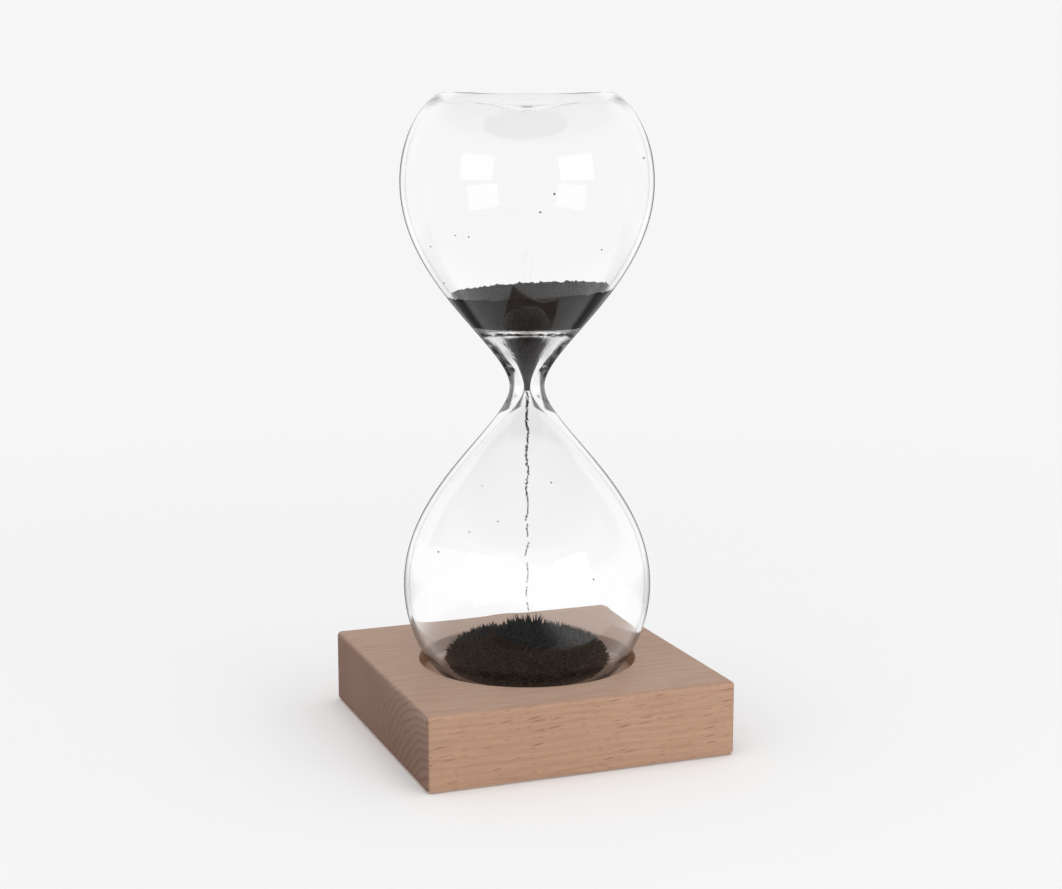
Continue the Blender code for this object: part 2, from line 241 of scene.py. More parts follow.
class Graph:
    """Adds and joins the nodes of one tree."""

    def __init__(self, tree: bpy.types.NodeTree) -> None:
        """Keeps the tree that is worked on."""
        self.tree = tree

    @classmethod
    def opened(cls, name: str, kind: str, inputs: dict[str, str], output: str, output_kind: str) -> "Graph":
        """Starts a node group.

        Args:
            name: The group's name.
            kind: The tree's type name.
            inputs: Socket type of each input, by the input's name.
            output: Name of its one output.
            output_kind: Socket type of that output.

        Returns:
            The graph of the new tree.
        """
        tree = bpy.data.node_groups.new(name, kind)
        for label, socket in inputs.items():
            tree.interface.new_socket(label, in_out="INPUT", socket_type=socket)
        tree.interface.new_socket(output, in_out="OUTPUT", socket_type=output_kind)
        return cls(tree)

    def feed(self, socket: bpy.types.NodeSocket, value: Any) -> None:
        """Links an output to an input, or sets the input's value."""
        if isinstance(value, bpy.types.NodeSocket):
            self.tree.links.new(value, socket)
        else:
            socket.default_value = value

    def node(self, kind: str, inputs: Optional[dict[Any, Any]] = None, **settings: Any) -> bpy.types.Node:
        """Adds a node.

        Args:
            kind: The node's type name.
            inputs: Values or outputs for its inputs, by name or number.
            settings: Properties of the node itself.

        Returns:
            The new node.
        """
        made = self.tree.nodes.new(kind)
        for key, value in settings.items():
            setattr(made, key, value)
        for key, value in (inputs or {}).items():
            self.feed(made.inputs[key], value)
        return made

    def math(self, operation: str, *values: Any, clamp: bool = False) -> bpy.types.NodeSocket:
        """Output of a Math node."""
        inputs = dict(enumerate(values))
        return self.node("ShaderNodeMath", inputs, operation=operation, use_clamp=clamp).outputs[0]

    def product(self, *values: Any) -> bpy.types.NodeSocket:
        """All the values multiplied together, from left to right."""
        result = values[0]
        for value in values[1:]:
            result = self.math("MULTIPLY", result, value)
        return result

    def vector(self, operation: str, *values: Any) -> bpy.types.NodeSocket:
        """Output of a Vector Math node that gives a vector."""
        return self.node("ShaderNodeVectorMath", dict(enumerate(values)), operation=operation).outputs[0]

    def scaled(self, vector: Any, factor: Any) -> bpy.types.NodeSocket:
        """A vector times a number."""
        return self.node("ShaderNodeVectorMath", {0: vector, "Scale": factor}, operation="SCALE").outputs[0]

    def length(self, vector: Any) -> bpy.types.NodeSocket:
        """Length of a vector."""
        return self.node("ShaderNodeVectorMath", {0: vector}, operation="LENGTH").outputs["Value"]

    def reach(self, vector: Any, direction: Vector) -> bpy.types.NodeSocket:
        """How far a vector goes along a direction."""
        inputs = {0: vector, 1: direction}
        return self.node("ShaderNodeVectorMath", inputs, operation="DOT_PRODUCT").outputs["Value"]

    def parts(self, vector: Any) -> bpy.types.NodeOutputs:
        """The three coordinates of a vector."""
        return self.node("ShaderNodeSeparateXYZ", {0: vector}).outputs

    def span(self, value: Any, low: Any, high: Any, to_low: Any = 0.0,
             to_high: Any = 1.0) -> bpy.types.NodeSocket:
        """Output of a smooth Map Range node."""
        inputs = {0: value, 1: low, 2: high, 3: to_low, 4: to_high}
        return self.node("ShaderNodeMapRange", inputs, interpolation_type="SMOOTHSTEP").outputs[0]

    def blend(self, factor: Any, a: Any, b: Any) -> bpy.types.NodeSocket:
        """Colour output of a Mix node."""
        inputs = {0: factor, 6: a, 7: b}
        return self.node("ShaderNodeMix", inputs, data_type="RGBA").outputs[2]

    def between(self, factor: Any, a: Any, b: Any) -> bpy.types.NodeSocket:
        """Value output of a Mix node."""
        return self.node("ShaderNodeMix", {0: factor, 2: a, 3: b}).outputs[0]

    def noise(self, vector: Any, scale: Any, detail: float = 2.0,
              roughness: float = 0.5) -> bpy.types.NodeSocket:
        """Value output of a Noise Texture."""
        inputs = {"Vector": vector, "Scale": scale, "Detail": detail, "Roughness": roughness}
        return self.node("ShaderNodeTexNoise", inputs).outputs[0]

    def millimetres(self) -> bpy.types.NodeSocket:
        """Object coordinates in millimetres."""
        return self.scaled(self.node("ShaderNodeTexCoord").outputs["Object"], 1 / MM)

    def outward(self) -> bpy.types.NodeOutputs:
        """The surface's normal along the object's three axes."""
        return self.parts(self.node("ShaderNodeTexCoord").outputs["Normal"])


class SharedEffects:
    """Shader node groups that several finishes place with their own values."""

    PATCH_CONTRAST: Span = (0.28, 0.72)
    SPECK_CORE = 0.6

    def __init__(self) -> None:
        """Builds each group once."""
        self.mottle = self._mottle()
        self.specks = self._specks()

    @staticmethod
    def _opened(name: str, *values: str) -> tuple[Graph, bpy.types.NodeOutputs]:
        """Starts a group that reads a place and some values, and puts out one mask.

        Args:
            name: The group's name.
            values: Names of the values.

        Returns:
            The group's graph and what it is given.
        """
        inputs = {"Place": "NodeSocketVector"} | {label: "NodeSocketFloat" for label in values}
        graph = Graph.opened(name, "ShaderNodeTree", inputs, "Mask", "NodeSocketFloat")
        return graph, graph.node("NodeGroupInput").outputs

    def _mottle(self) -> bpy.types.NodeTree:
        """Uneven patches of two sizes, as on wood, felt, ferrite and filings."""
        graph, given = self._opened("uneven_patches", "Coarse Scale", "Fine Scale", "Fine Share")
        coarse = graph.noise(given["Place"], given["Coarse Scale"], 2.0)
        fine = graph.noise(given["Place"], given["Fine Scale"], 3.0, 0.65)
        mixed = graph.between(given["Fine Share"], coarse, fine)
        graph.node("NodeGroupOutput", {"Mask": graph.span(mixed, *self.PATCH_CONTRAST)})
        return graph.tree

    def _specks(self) -> bpy.types.NodeTree:
        """Separate soft specks of uneven size, such as pores, fibres and dust."""
        graph, given = self._opened("scattered_specks", "Speck Size", "Share")
        cells = graph.node("ShaderNodeTexVoronoi", {"Vector": given["Place"], "Scale": 1.0}).outputs
        chance = graph.node("ShaderNodeSeparateColor", {0: cells["Color"]}).outputs
        uneven = graph.math("ADD", graph.product(chance[1], 0.8), 0.35)
        size = graph.product(given["Speck Size"], uneven)
        near = graph.math("SUBTRACT", 1.0, graph.math("DIVIDE", cells["Distance"], size), clamp=True)
        kept = graph.math("LESS_THAN", chance[0], given["Share"])
        depth = graph.math("ADD", graph.product(chance[2], 0.6), 0.4)
        soft = graph.product(graph.span(near, 0.0, self.SPECK_CORE), graph.product(kept, depth))
        graph.node("NodeGroupOutput", {"Mask": soft})
        return graph.tree


class Finish:
    """A material that is being built, with what every finish needs."""

    def __init__(self, name: str, effects: SharedEffects) -> None:
        """Starts an empty material."""
        self.material = bpy.data.materials.new(name)
        self.material.use_nodes = True
        self.material.node_tree.nodes.clear()
        self.graph = Graph(self.material.node_tree)
        self.effects = effects

    def mottle(self, place: Any, coarse: float, fine: float, share: float) -> bpy.types.NodeSocket:
        """Places the shared uneven patches."""
        inputs = {"Place": place, "Coarse Scale": coarse, "Fine Scale": fine, "Fine Share": share}
        group = self.graph.node("ShaderNodeGroup", inputs, node_tree=self.effects.mottle)
        return group.outputs["Mask"]

    def specks(self, place: Any, stretch: Triple, size: float, share: float) -> bpy.types.NodeSocket:
        """Places the shared specks.

        Args:
            place: Coordinates in millimetres.
            stretch: Size of a speck's cell along each axis, in millimetres.
            size: Radius of a speck, as a share of its cell.
            share: Share of the cells that hold a speck.

        Returns:
            The specks as a mask.
        """
        inputs = {"Place": self.graph.vector("DIVIDE", place, stretch), "Speck Size": size, "Share": share}
        group = self.graph.node("ShaderNodeGroup", inputs, node_tree=self.effects.specks)
        return group.outputs["Mask"]

    def bump(self, height: Any, depth: float, strength: float = 1.0) -> bpy.types.NodeSocket:
        """Normal of a Bump node whose full height is that depth in metres."""
        inputs = {"Height": height, "Distance": depth, "Strength": strength}
        return self.graph.node("ShaderNodeBump", inputs).outputs["Normal"]

    def principled(self, inputs: dict[str, Any]) -> bpy.types.NodeSocket:
        """Shader of a Principled BSDF with those inputs."""
        return self.graph.node("ShaderNodeBsdfPrincipled", inputs).outputs[0]

    def close(self, shader: bpy.types.NodeSocket) -> bpy.types.Material:
        """Links the shader to the output and returns the material."""
        self.graph.node("ShaderNodeOutputMaterial", {"Surface": shader})
        return self.material


@dataclass(frozen=True)
class BeechFinish:
    """Sanded, unvarnished beech with short dark flecks and growth rings; its end faces are darker, partly end
    grain and partly painted shade.
    """

    side: str = "BD957A"
    face: str = "AE8E7A"
    # Tone of the block's end faces: darker end grain, with painted shade that darkens them further.
    end: str = "8A6A5D"
    fleck: str = "865A3F"
    ring: str = "7D5B4E"
    pale: str = "D9BCA2"
    pore: str = "5F4136"
    facing: Span = (0.45, 0.9)
    side_facing: Span = (0.4, 0.9)
    block_end: Span = (37.0, 38.8)
    heart: Triple = (0.0, -42.0, -20.0)
    ring_width: float = 2.0
    ring_waver: float = 7.0
    late_wood: Span = (0.35, 0.86)
    late_edge: Span = (0.88, 1.0)
    ring_reach: Span = (40.0, 62.0)
    ring_fade: Span = (0.7, 0.15)
    ring_everywhere: float = 0.10
    fleck_turn: Triple = (0.0, math.radians(6), math.radians(3))
    fleck_shift: Triple = (31.0, 17.0, 9.0)
    long_cell: Triple = (5.6, 1.3, 0.66)
    short_cell: Triple = (2.8, 0.9, 0.45)
    pore_cell: Triple = (1.6, 0.34, 0.34)
    # Share by which the wood is painted darker where a reflection shows it: painted reflection shade.
    mirrored: float = 0.5
    roughness: float = 0.5
    relief: float = 0.06 * MM

    def material(self, effects: SharedEffects) -> bpy.types.Material:
        """Builds the finish.

        Args:
            effects: The shared node groups.

        Returns:
            The material.
        """
        finish = Finish("sanded_beech", effects)
        g = finish.graph
        place = g.millimetres()
        normal = [g.math("ABSOLUTE", part) for part in g.outward()]
        outside = g.span(g.math("ABSOLUTE", g.parts(place)[0]), *self.block_end)
        endwise = g.product(g.span(normal[0], *self.facing), outside)
        topwise = g.span(normal[2], *self.facing)
        sidewise = g.span(normal[1], *self.side_facing)

        streak = g.noise(g.vector("MULTIPLY", place, (0.06, 1.0, 1.0)), 1.1, 4.0, 0.6)
        base = g.blend(topwise, tone(self.side), tone(self.face))
        # End faces take the darker end tone, partly end grain and partly painted shade.
        base = g.blend(endwise, base, tone(self.end))
        base = g.blend(g.product(g.span(streak, 0.35, 0.75), 0.22), base, tone(self.fleck))
        base = g.blend(g.product(finish.mottle(place, 0.035, 0.3, 0.3), 0.10), base, tone(self.pale))

        radius = self._ring_radius(g, place)
        turn = g.math("FRACT", g.math("DIVIDE", radius, self.ring_width))
        late = g.product(g.span(turn, *self.late_wood), g.span(turn, *self.late_edge, 1.0, 0.0))
        ring_depth = g.product(endwise, g.span(radius, *self.ring_reach, *self.ring_fade))
        ring_depth = g.math("ADD", ring_depth, self.ring_everywhere)
        base = g.blend(g.product(late, ring_depth), base, tone(self.ring))

        tilt = g.node("ShaderNodeMapping", {"Vector": place, "Rotation": self.fleck_turn}).outputs[0]
        long_fleck = finish.specks(tilt, self.long_cell, 0.44, 0.55)
        short_fleck = finish.specks(g.vector("ADD", tilt, self.fleck_shift), self.short_cell, 0.42, 0.45)
        flecks = g.math("MAXIMUM", long_fleck, g.product(short_fleck, 0.7))
        fleck_depth = g.math("ADD", g.product(sidewise, 0.65), g.product(topwise, 0.1))
        base = g.blend(g.product(flecks, fleck_depth), base, tone(self.fleck))

        pores = finish.specks(place, self.pore_cell, 0.5, 0.5)
        pore_depth = g.math("ADD", g.product(endwise, 0.35), 0.06)
        base = g.blend(g.product(pores, pore_depth), base, tone(self.pore))

        # Painted reflection shade: rays that reach the wood by reflection see its colour darkened by the
        # mirrored share.
        painted_mirror_shade = g.math("MINIMUM", g.node("ShaderNodeLightPath").outputs["Glossy Depth"], 1.0)
        base = g.blend(g.product(painted_mirror_shade, self.mirrored), base, grey(0.0))
        rough = g.math("ADD", self.roughness, g.product(g.math("SUBTRACT", streak, 0.5), 0.25))
        pits = g.math("ADD", g.product(flecks, 0.45), g.product(pores, 0.35))
        relief = g.math("SUBTRACT", g.product(streak, 0.35), pits)
        return finish.close(finish.principled({
            "Base Color": base, "Roughness": rough, "Specular IOR Level": 0.4,
            "Normal": finish.bump(relief, self.relief)}))

    def _ring_radius(self, g: Graph, place: bpy.types.NodeSocket) -> bpy.types.NodeSocket:
        """Wavering distance from the heart of the tree, in millimetres.

        Args:
            g: The material's graph.
            place: Coordinates in millimetres.

        Returns:
            The distance.
        """
        slow = g.vector("MULTIPLY", place, (0.02, 0.05, 0.05))
        waver = g.node("ShaderNodeTexNoise", {"Vector": slow, "Scale": 1.0, "Detail": 2.0})
        offset = g.scaled(g.vector("SUBTRACT", waver.outputs["Color"], (0.5, 0.5, 0.5)), self.ring_waver)
        away = g.vector("SUBTRACT", g.vector("ADD", place, offset), self.heart)
        return g.length(g.vector("MULTIPLY", away, (0.0, 1.0, 1.0)))


@dataclass(frozen=True)
class ClearGlassFinish:
    """Blown clear glass with streaks in the worked glass above the neck; a painted tint darkens it where it is
    seen edge-on, wider on the thick neck.
    """

    # Tone of the painted dark rim where the glass is seen edge-on.
    edge: str = "343437"
    smoke: str = "8E8E91"
    index: float = 1.47
    neck_height: float = 89.3
    neck_span: Span = (4.875, 7.5)
    bulb_rim: Span = (0.80, 0.95)
    neck_rim_earlier: Span = (0.50, 0.57)
    upright: Span = (0.75, 0.95)
    bulb_ends: Span = (58.0, 68.0)
    worked_from: Span = (6.0, 8.5)
    worked_to: Span = (14.5, 15.8)
    streak_share: float = 0.6
    streak_height: float = 14.0
    ripple: float = 0.012 * MM
    passing: float = 0.97
    deepest: float = 9.5

    def material(self, effects: SharedEffects) -> bpy.types.Material:
        """Builds the finish.

        Args:
            effects: The shared node groups.

        Returns:
            The material.
        """
        finish = Finish("clear_blown_glass", effects)
        g = finish.graph
        place = g.millimetres()
        # The rim is a painted tint that darkens the glass where it is seen edge-on, set wider on the thick
        # neck. It paints both the darker long path through the glass and dark reflections.
        facing = g.node("ShaderNodeLayerWeight", {"Blend": 0.5}).outputs["Facing"]
        above = g.math("SUBTRACT", g.parts(place)[2], self.neck_height)
        apart = g.math("ABSOLUTE", above)
        thick = g.span(apart, *self.neck_span, 1.0, 0.0)
        start, end = (g.math("SUBTRACT", limit, g.product(thick, earlier))
                      for limit, earlier in zip(self.bulb_rim, self.neck_rim_earlier))
        rim = g.math("DIVIDE", g.math("SUBTRACT", facing, start), g.math("SUBTRACT", end, start), clamp=True)
        rim = g.product(rim, g.span(g.math("ABSOLUTE", g.outward()[2]), *self.upright, 1.0, 0.0),
                        g.span(apart, *self.bulb_ends, 1.0, 0.0))
        worked = g.product(g.span(above, *self.worked_from), g.span(above, *self.worked_to, 1.0, 0.0))
        streaks = finish.mottle(g.vector("MULTIPLY", place, (1.0, 1.0, 0.45)), 0.32, 0.9, 0.35)
        smoky = g.product(worked, g.product(streaks, self.streak_share))
        colour = g.blend(rim, g.blend(smoky, grey(1.0), tone(self.smoke)), tone(self.edge))
        ripple = g.math("ADD", finish.mottle(place, 0.035, 0.12, 0.25),
                        g.product(worked, streaks, self.streak_height))
        glass = finish.principled({
            "Base Color": colour, "Roughness": 0.0, "IOR": self.index, "Transmission Weight": 1.0,
            "Normal": finish.bump(ripple, self.ripple, 0.5)})
        passing = g.node("ShaderNodeBsdfTransparent", {"Color": grey(self.passing)})
        path = g.node("ShaderNodeLightPath").outputs
        through = g.math("MAXIMUM", path["Is Shadow Ray"], path["Is Diffuse Ray"])
        through = g.math("MAXIMUM", through, g.math("GREATER_THAN", path["Ray Depth"], self.deepest))
        mixed = g.node("ShaderNodeMixShader", {0: through, 1: glass, 2: passing.outputs[0]})
        return finish.close(mixed.outputs[0])


@dataclass(frozen=True)
class FilingsFinish:
    """Fine iron filings, nearly black with a brown cast and dull metal gloss, with painted glints where needle
    tips catch the light.
    """

    name: str
    dark: str = "1E1B1A"
    light: str = "3C3733"
    # Tone of the painted glints.
    painted_glint_tone: str = "7A736B"
    roughness: float = 0.5
    metal: float = 0.35
    painted_glint: float = 0.35
    relief: float = 0.18 * MM

    def material(self, effects: SharedEffects) -> bpy.types.Material:
        """Builds the finish.

        Args:
            effects: The shared node groups.

        Returns:
            The material.
        """
        finish = Finish(self.name, effects)
        g = finish.graph
        place = g.millimetres()
        patches = finish.mottle(place, 0.3, 3.2, 0.7)
        # Painted glints: lighter specks that stand for needle tips catching the light.
        painted_glints = finish.specks(place, (0.4, 0.4, 0.4), 0.55, 0.3)
        base = g.blend(g.product(patches, 0.55), tone(self.dark), tone(self.light))
        base = g.blend(g.product(painted_glints, self.painted_glint), base, tone(self.painted_glint_tone))
        rough = g.math("ADD", self.roughness, g.product(patches, 0.2))
        height = g.math("ADD", patches, g.product(painted_glints, 0.6))
        return finish.close(finish.principled({
            "Base Color": base, "Roughness": rough, "Metallic": self.metal, "Specular IOR Level": 0.2,
            "Normal": finish.bump(height, self.relief)}))


PACKED_FILINGS = FilingsFinish("packed_filings")
# The loose filings carry the strongest painted glints.
LOOSE_FILINGS = FilingsFinish("loose_filings", dark="0B0A09", light="463F38", roughness=0.4, painted_glint=0.8)
# A darker copy of the filings for the heap's crown: painted shade that sets the crown apart from the sheen on
# the ring.
SHADED_CROWN_FILINGS = FilingsFinish("drawn_filings", dark="070606", light="171412", painted_glint=0.3)
RESTING_FILINGS = FilingsFinish("resting_filings", dark="0C0B0A", light="26231F", roughness=0.6)


@dataclass(frozen=True)
class FerriteFinish:
    """Sintered ferrite, charcoal grey with a ground face."""

    dark: str = "2B2B2D"
    light: str = "47474A"
    pit: str = "151516"
    roughness: float = 0.42
    relief: float = 0.05 * MM

    def material(self, effects: SharedEffects) -> bpy.types.Material:
        """Builds the finish.

        Args:
            effects: The shared node groups.

        Returns:
            The material.
        """
        finish = Finish("ground_ferrite", effects)
        g = finish.graph
        place = g.millimetres()
        patches = finish.mottle(place, 0.15, 1.8, 0.5)
        pits = finish.specks(place, (0.7, 0.7, 0.7), 0.4, 0.35)
        base = g.blend(patches, tone(self.dark), tone(self.light))
        base = g.blend(g.product(pits, 0.6), base, tone(self.pit))
        rough = g.math("ADD", self.roughness, g.product(patches, 0.2))
        relief = g.math("SUBTRACT", g.product(patches, 0.3), pits)
        return finish.close(finish.principled({
            "Base Color": base, "Roughness": rough, "Normal": finish.bump(relief, self.relief)}))


@dataclass(frozen=True)
class FeltFinish:
    """Pressed wool felt, dark grey, with a matted surface of short fibres."""

    dark: str = "302C2A"
    light: str = "4B4541"
    strand: str = "625B55"
    along_cell: Triple = (1.9, 0.3, 0.5)
    across_cell: Triple = (0.3, 1.9, 0.5)
    across_shift: Triple = (5.0, 3.0, 1.0)
    relief: float = 0.12 * MM

    def material(self, effects: SharedEffects) -> bpy.types.Material:
        """Builds the finish.

        Args:
            effects: The shared node groups.

        Returns:
            The material.
        """
        finish = Finish("pressed_felt", effects)
        g = finish.graph
        place = g.millimetres()
        matting = finish.mottle(place, 0.25, 2.6, 0.65)
        bend = g.node("ShaderNodeTexNoise", {"Vector": place, "Scale": 0.6}).outputs["Color"]
        warp = g.vector("ADD", place, bend)
        fibres = finish.specks(warp, self.along_cell, 0.55, 0.7)
        crossing = finish.specks(g.vector("ADD", warp, self.across_shift), self.across_cell, 0.55, 0.7)
        strands = g.math("MAXIMUM", fibres, crossing)
        base = g.blend(matting, tone(self.dark), tone(self.light))
        base = g.blend(g.product(strands, 0.4), base, tone(self.strand))
        height = g.math("ADD", matting, strands)
        return finish.close(finish.principled({
            "Base Color": base, "Roughness": 0.95, "Sheen Weight": 0.35, "Sheen Roughness": 0.5,
            "Normal": finish.bump(height, self.relief)}))


class GrainScatter:
    """What the Geometry Nodes trees share: their sockets, their ending and how they are run."""

    def __init__(self, name: str, carrier: str, *sizes: str) -> None:
        """Starts the tree.

        Args:
            name: The tree's name.
            carrier: Name of the input that carries the grains.
            sizes: Names of the tree's sizes.
        """
        inputs = {carrier: "NodeSocketGeometry"} | {label: "NodeSocketFloat" for label in sizes}
        inputs |= {"Seed": "NodeSocketInt", "Finish": "NodeSocketMaterial"}
        self.graph = Graph.opened(name, "GeometryNodeTree", inputs, "Grains", "NodeSocketGeometry")
        self.given = self.graph.node("NodeGroupInput").outputs

    def random(self, salt: int, low: Any, high: Any) -> bpy.types.NodeSocket:
        """A random number for each point.

        Args:
            salt: Added to the seed, to keep one use apart from the next.
            low: Least value.
            high: Greatest value.

        Returns:
            The number's output.
        """
        seed = self.graph.math("ADD", self.given["Seed"], salt)
        inputs = {"Seed": seed, 2: low, 3: high}
        return self.graph.node("FunctionNodeRandomValue", inputs, data_type="FLOAT").outputs[1]

    def random_vector(self, salt: int, low: Triple, high: Triple) -> bpy.types.NodeSocket:
        """A random vector for each point, with the same arguments as random."""
        seed = self.graph.math("ADD", self.given["Seed"], salt)
        inputs = {"Seed": seed, 0: low, 1: high}
        return self.graph.node("FunctionNodeRandomValue", inputs, data_type="FLOAT_VECTOR").outputs[0]

    def chip(self) -> bpy.types.NodeSocket:
        """A chip of a few faces, one unit in radius."""
        return self.graph.node("GeometryNodeMeshIcoSphere", {"Radius": 1.0, "Subdivisions": 1}).outputs["Mesh"]

    def close(self, points: Any, solid: Any, rotation: Any, scale: Any) -> None:
        """Plants a solid on points, makes it real and dresses it.

        Args:
            points: Where the grains stand.
            solid: The grain.
            rotation: How each one is turned.
            scale: How large each one is.
        """
        g = self.graph
        planted = g.node("GeometryNodeInstanceOnPoints", {
            "Points": points, "Instance": solid, "Rotation": rotation, "Scale": scale})
        real = g.node("GeometryNodeRealizeInstances", {0: planted.outputs[0]})
        dressed = g.node("GeometryNodeSetMaterial", {
            "Geometry": real.outputs[0], "Material": self.given["Finish"]})
        g.node("NodeGroupOutput", {"Grains": dressed.outputs[0]})

    def plant(self, carrier: bpy.types.Object, name: str, values: dict[str, Any]) -> bpy.types.Object:
        """Runs the tree on a carrier and gives the grains back as a plain mesh.

        Args:
            carrier: The object whose faces or edges carry the grains.
            name: The new piece's name.
            values: The tree's inputs by name.

        Returns:
            The grains as one object.
        """
        modifier = carrier.modifiers.new("scatter", "NODES")
        modifier.node_group = self.graph.tree
        for item in self.graph.tree.interface.items_tree:
            if item.in_out == "INPUT" and item.name in values:
                modifier[item.identifier] = values[item.name]
        made = Mesh.baked(carrier, name)
        carrier.modifiers.remove(modifier)
        return made


class SurfaceScatter(GrainScatter):
    """Geometry Nodes tree that plants needles or chips over a surface."""

    LENGTH = "grain_length"
    UNEVEN_SALT = 17
    THICK_SALT = 34
    THICK_RANGE: Span = (0.6, 1.3)
    CHIP_FLATNESS = 0.7

    def __init__(self, shape: Grain) -> None:
        """Builds the tree for one kind of grain.

        Args:
            shape: Needle or chip.
        """
        super().__init__(f"{shape.value}_scatter", "Surface", "Density", "Thickness", "Spread", "Variation")
        g, given = self.graph, self.given
        points = g.node("GeometryNodeDistributePointsOnFaces", {
            "Mesh": given["Surface"], "Density": given["Density"], "Seed": given["Seed"]}).outputs
        length = g.node("GeometryNodeInputNamedAttribute", {"Name": self.LENGTH}, data_type="FLOAT").outputs[0]
        uneven = self.random(self.UNEVEN_SALT, g.math("SUBTRACT", 1.0, given["Variation"]),
                             g.math("ADD", 1.0, given["Variation"]))
        thick = g.product(given["Thickness"], self.random(self.THICK_SALT, *self.THICK_RANGE))
        lean = g.scaled(self.random_vector(0, (-1.0, -1.0, -1.0), (1.0, 1.0, 1.0)), given["Spread"])
        tilt = g.node("FunctionNodeEulerToRotation", {0: lean})
        turned = g.node("FunctionNodeRotateRotation", {
            "Rotation": points["Rotation"], "Rotate By": tilt.outputs[0]}, rotation_space="LOCAL")
        if shape is Grain.NEEDLE:
            solid = g.node("GeometryNodeMeshCone", {
                "Vertices": 4, "Radius Top": 0.0, "Radius Bottom": 1.0, "Depth": 1.0},
                fill_type="NONE").outputs["Mesh"]
            sides = (thick, thick, g.product(length, uneven))
        else:
            solid = self.chip()
            sides = (g.product(thick, uneven), thick, g.product(thick, self.CHIP_FLATNESS))
        size = g.node("ShaderNodeCombineXYZ", dict(enumerate(sides)))
        self.close(points["Points"], solid, turned.outputs[0], size.outputs[0])


class ThreadScatter(GrainScatter):
    """Geometry Nodes tree that strings chips along the threads of a falling stream."""

    TURN_SALT = 5
    SIZE_SALT = 9
    FULL_TURN: Triple = (6.28, 6.28, 6.28)
    SMALLEST: Triple = (0.4, 0.4, 0.6)
    LARGEST: Triple = (0.9, 0.9, 1.6)

    def __init__(self) -> None:
        """Builds the tree."""
        super().__init__("falling_thread", "Threads", "Spacing", "Grain Size", "Scatter", "Top", "Foot",
                         "Foot Share")
        g, given = self.graph, self.given
        curve = g.node("GeometryNodeMeshToCurve", {"Mesh": given["Threads"]})
        points = g.node("GeometryNodeCurveToPoints", {
            "Curve": curve.outputs[0], "Length": given["Spacing"]}, mode="LENGTH").outputs["Points"]
        height = g.parts(g.node("GeometryNodeInputPosition").outputs[0])[2]
        fullness = g.span(height, given["Foot"], given["Top"], given["Foot Share"], 1.0)
        aside = g.scaled(self.random_vector(0, (-1.0, -1.0, -1.0), (1.0, 1.0, 1.0)),
                         g.product(given["Scatter"], fullness))
        moved = g.node("GeometryNodeSetPosition", {"Geometry": points, "Offset": aside})
        turn = self.random_vector(self.TURN_SALT, (0.0, 0.0, 0.0), self.FULL_TURN)
        size = self.random_vector(self.SIZE_SALT, self.SMALLEST, self.LARGEST)
        scale = g.scaled(size, g.product(given["Grain Size"], fullness))
        rotation = g.node("FunctionNodeEulerToRotation", {0: turn})
        self.close(moved.outputs[0], self.chip(), rotation.outputs[0], scale)


@dataclass(frozen=True)
class Planting:
    """How thickly grains stand on a surface, and how unevenly."""

    density: float
    thickness: float
    spread: float
    seed: int
    variation: float = 0.6

    def inputs(self, finish: bpy.types.Material) -> dict[str, Any]:
        """The surface scatter's inputs by name."""
        return {"Density": self.density, "Thickness": self.thickness, "Spread": self.spread,
                "Variation": self.variation, "Seed": self.seed, "Finish": finish}


class Assembly:
    """What every sub-assembly shares: handing its pieces to the frame."""

    def hand_over(self, piece: bpy.types.Object, body: Body, slot: Slot, material: bpy.types.Material,
                  *nodes: str) -> bpy.types.Object:
        """Dresses a piece, ties it to its body and reports it.

        Args:
            piece: The finished object.
            body: The body that it rides on.
            slot: The record's slot that its finish comes from; not used.
            material: Its finish.
            nodes: The frame's nodes that it stands for.

        Returns:
            The same piece.
        """
        piece.data.materials.clear()
        piece.data.materials.append(material)
        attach(piece, body.value)
        if nodes:
            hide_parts(*nodes)
        LOG.info("%s: %d faces on the %s", piece.name, len(piece.data.polygons), body.value)
        return piece


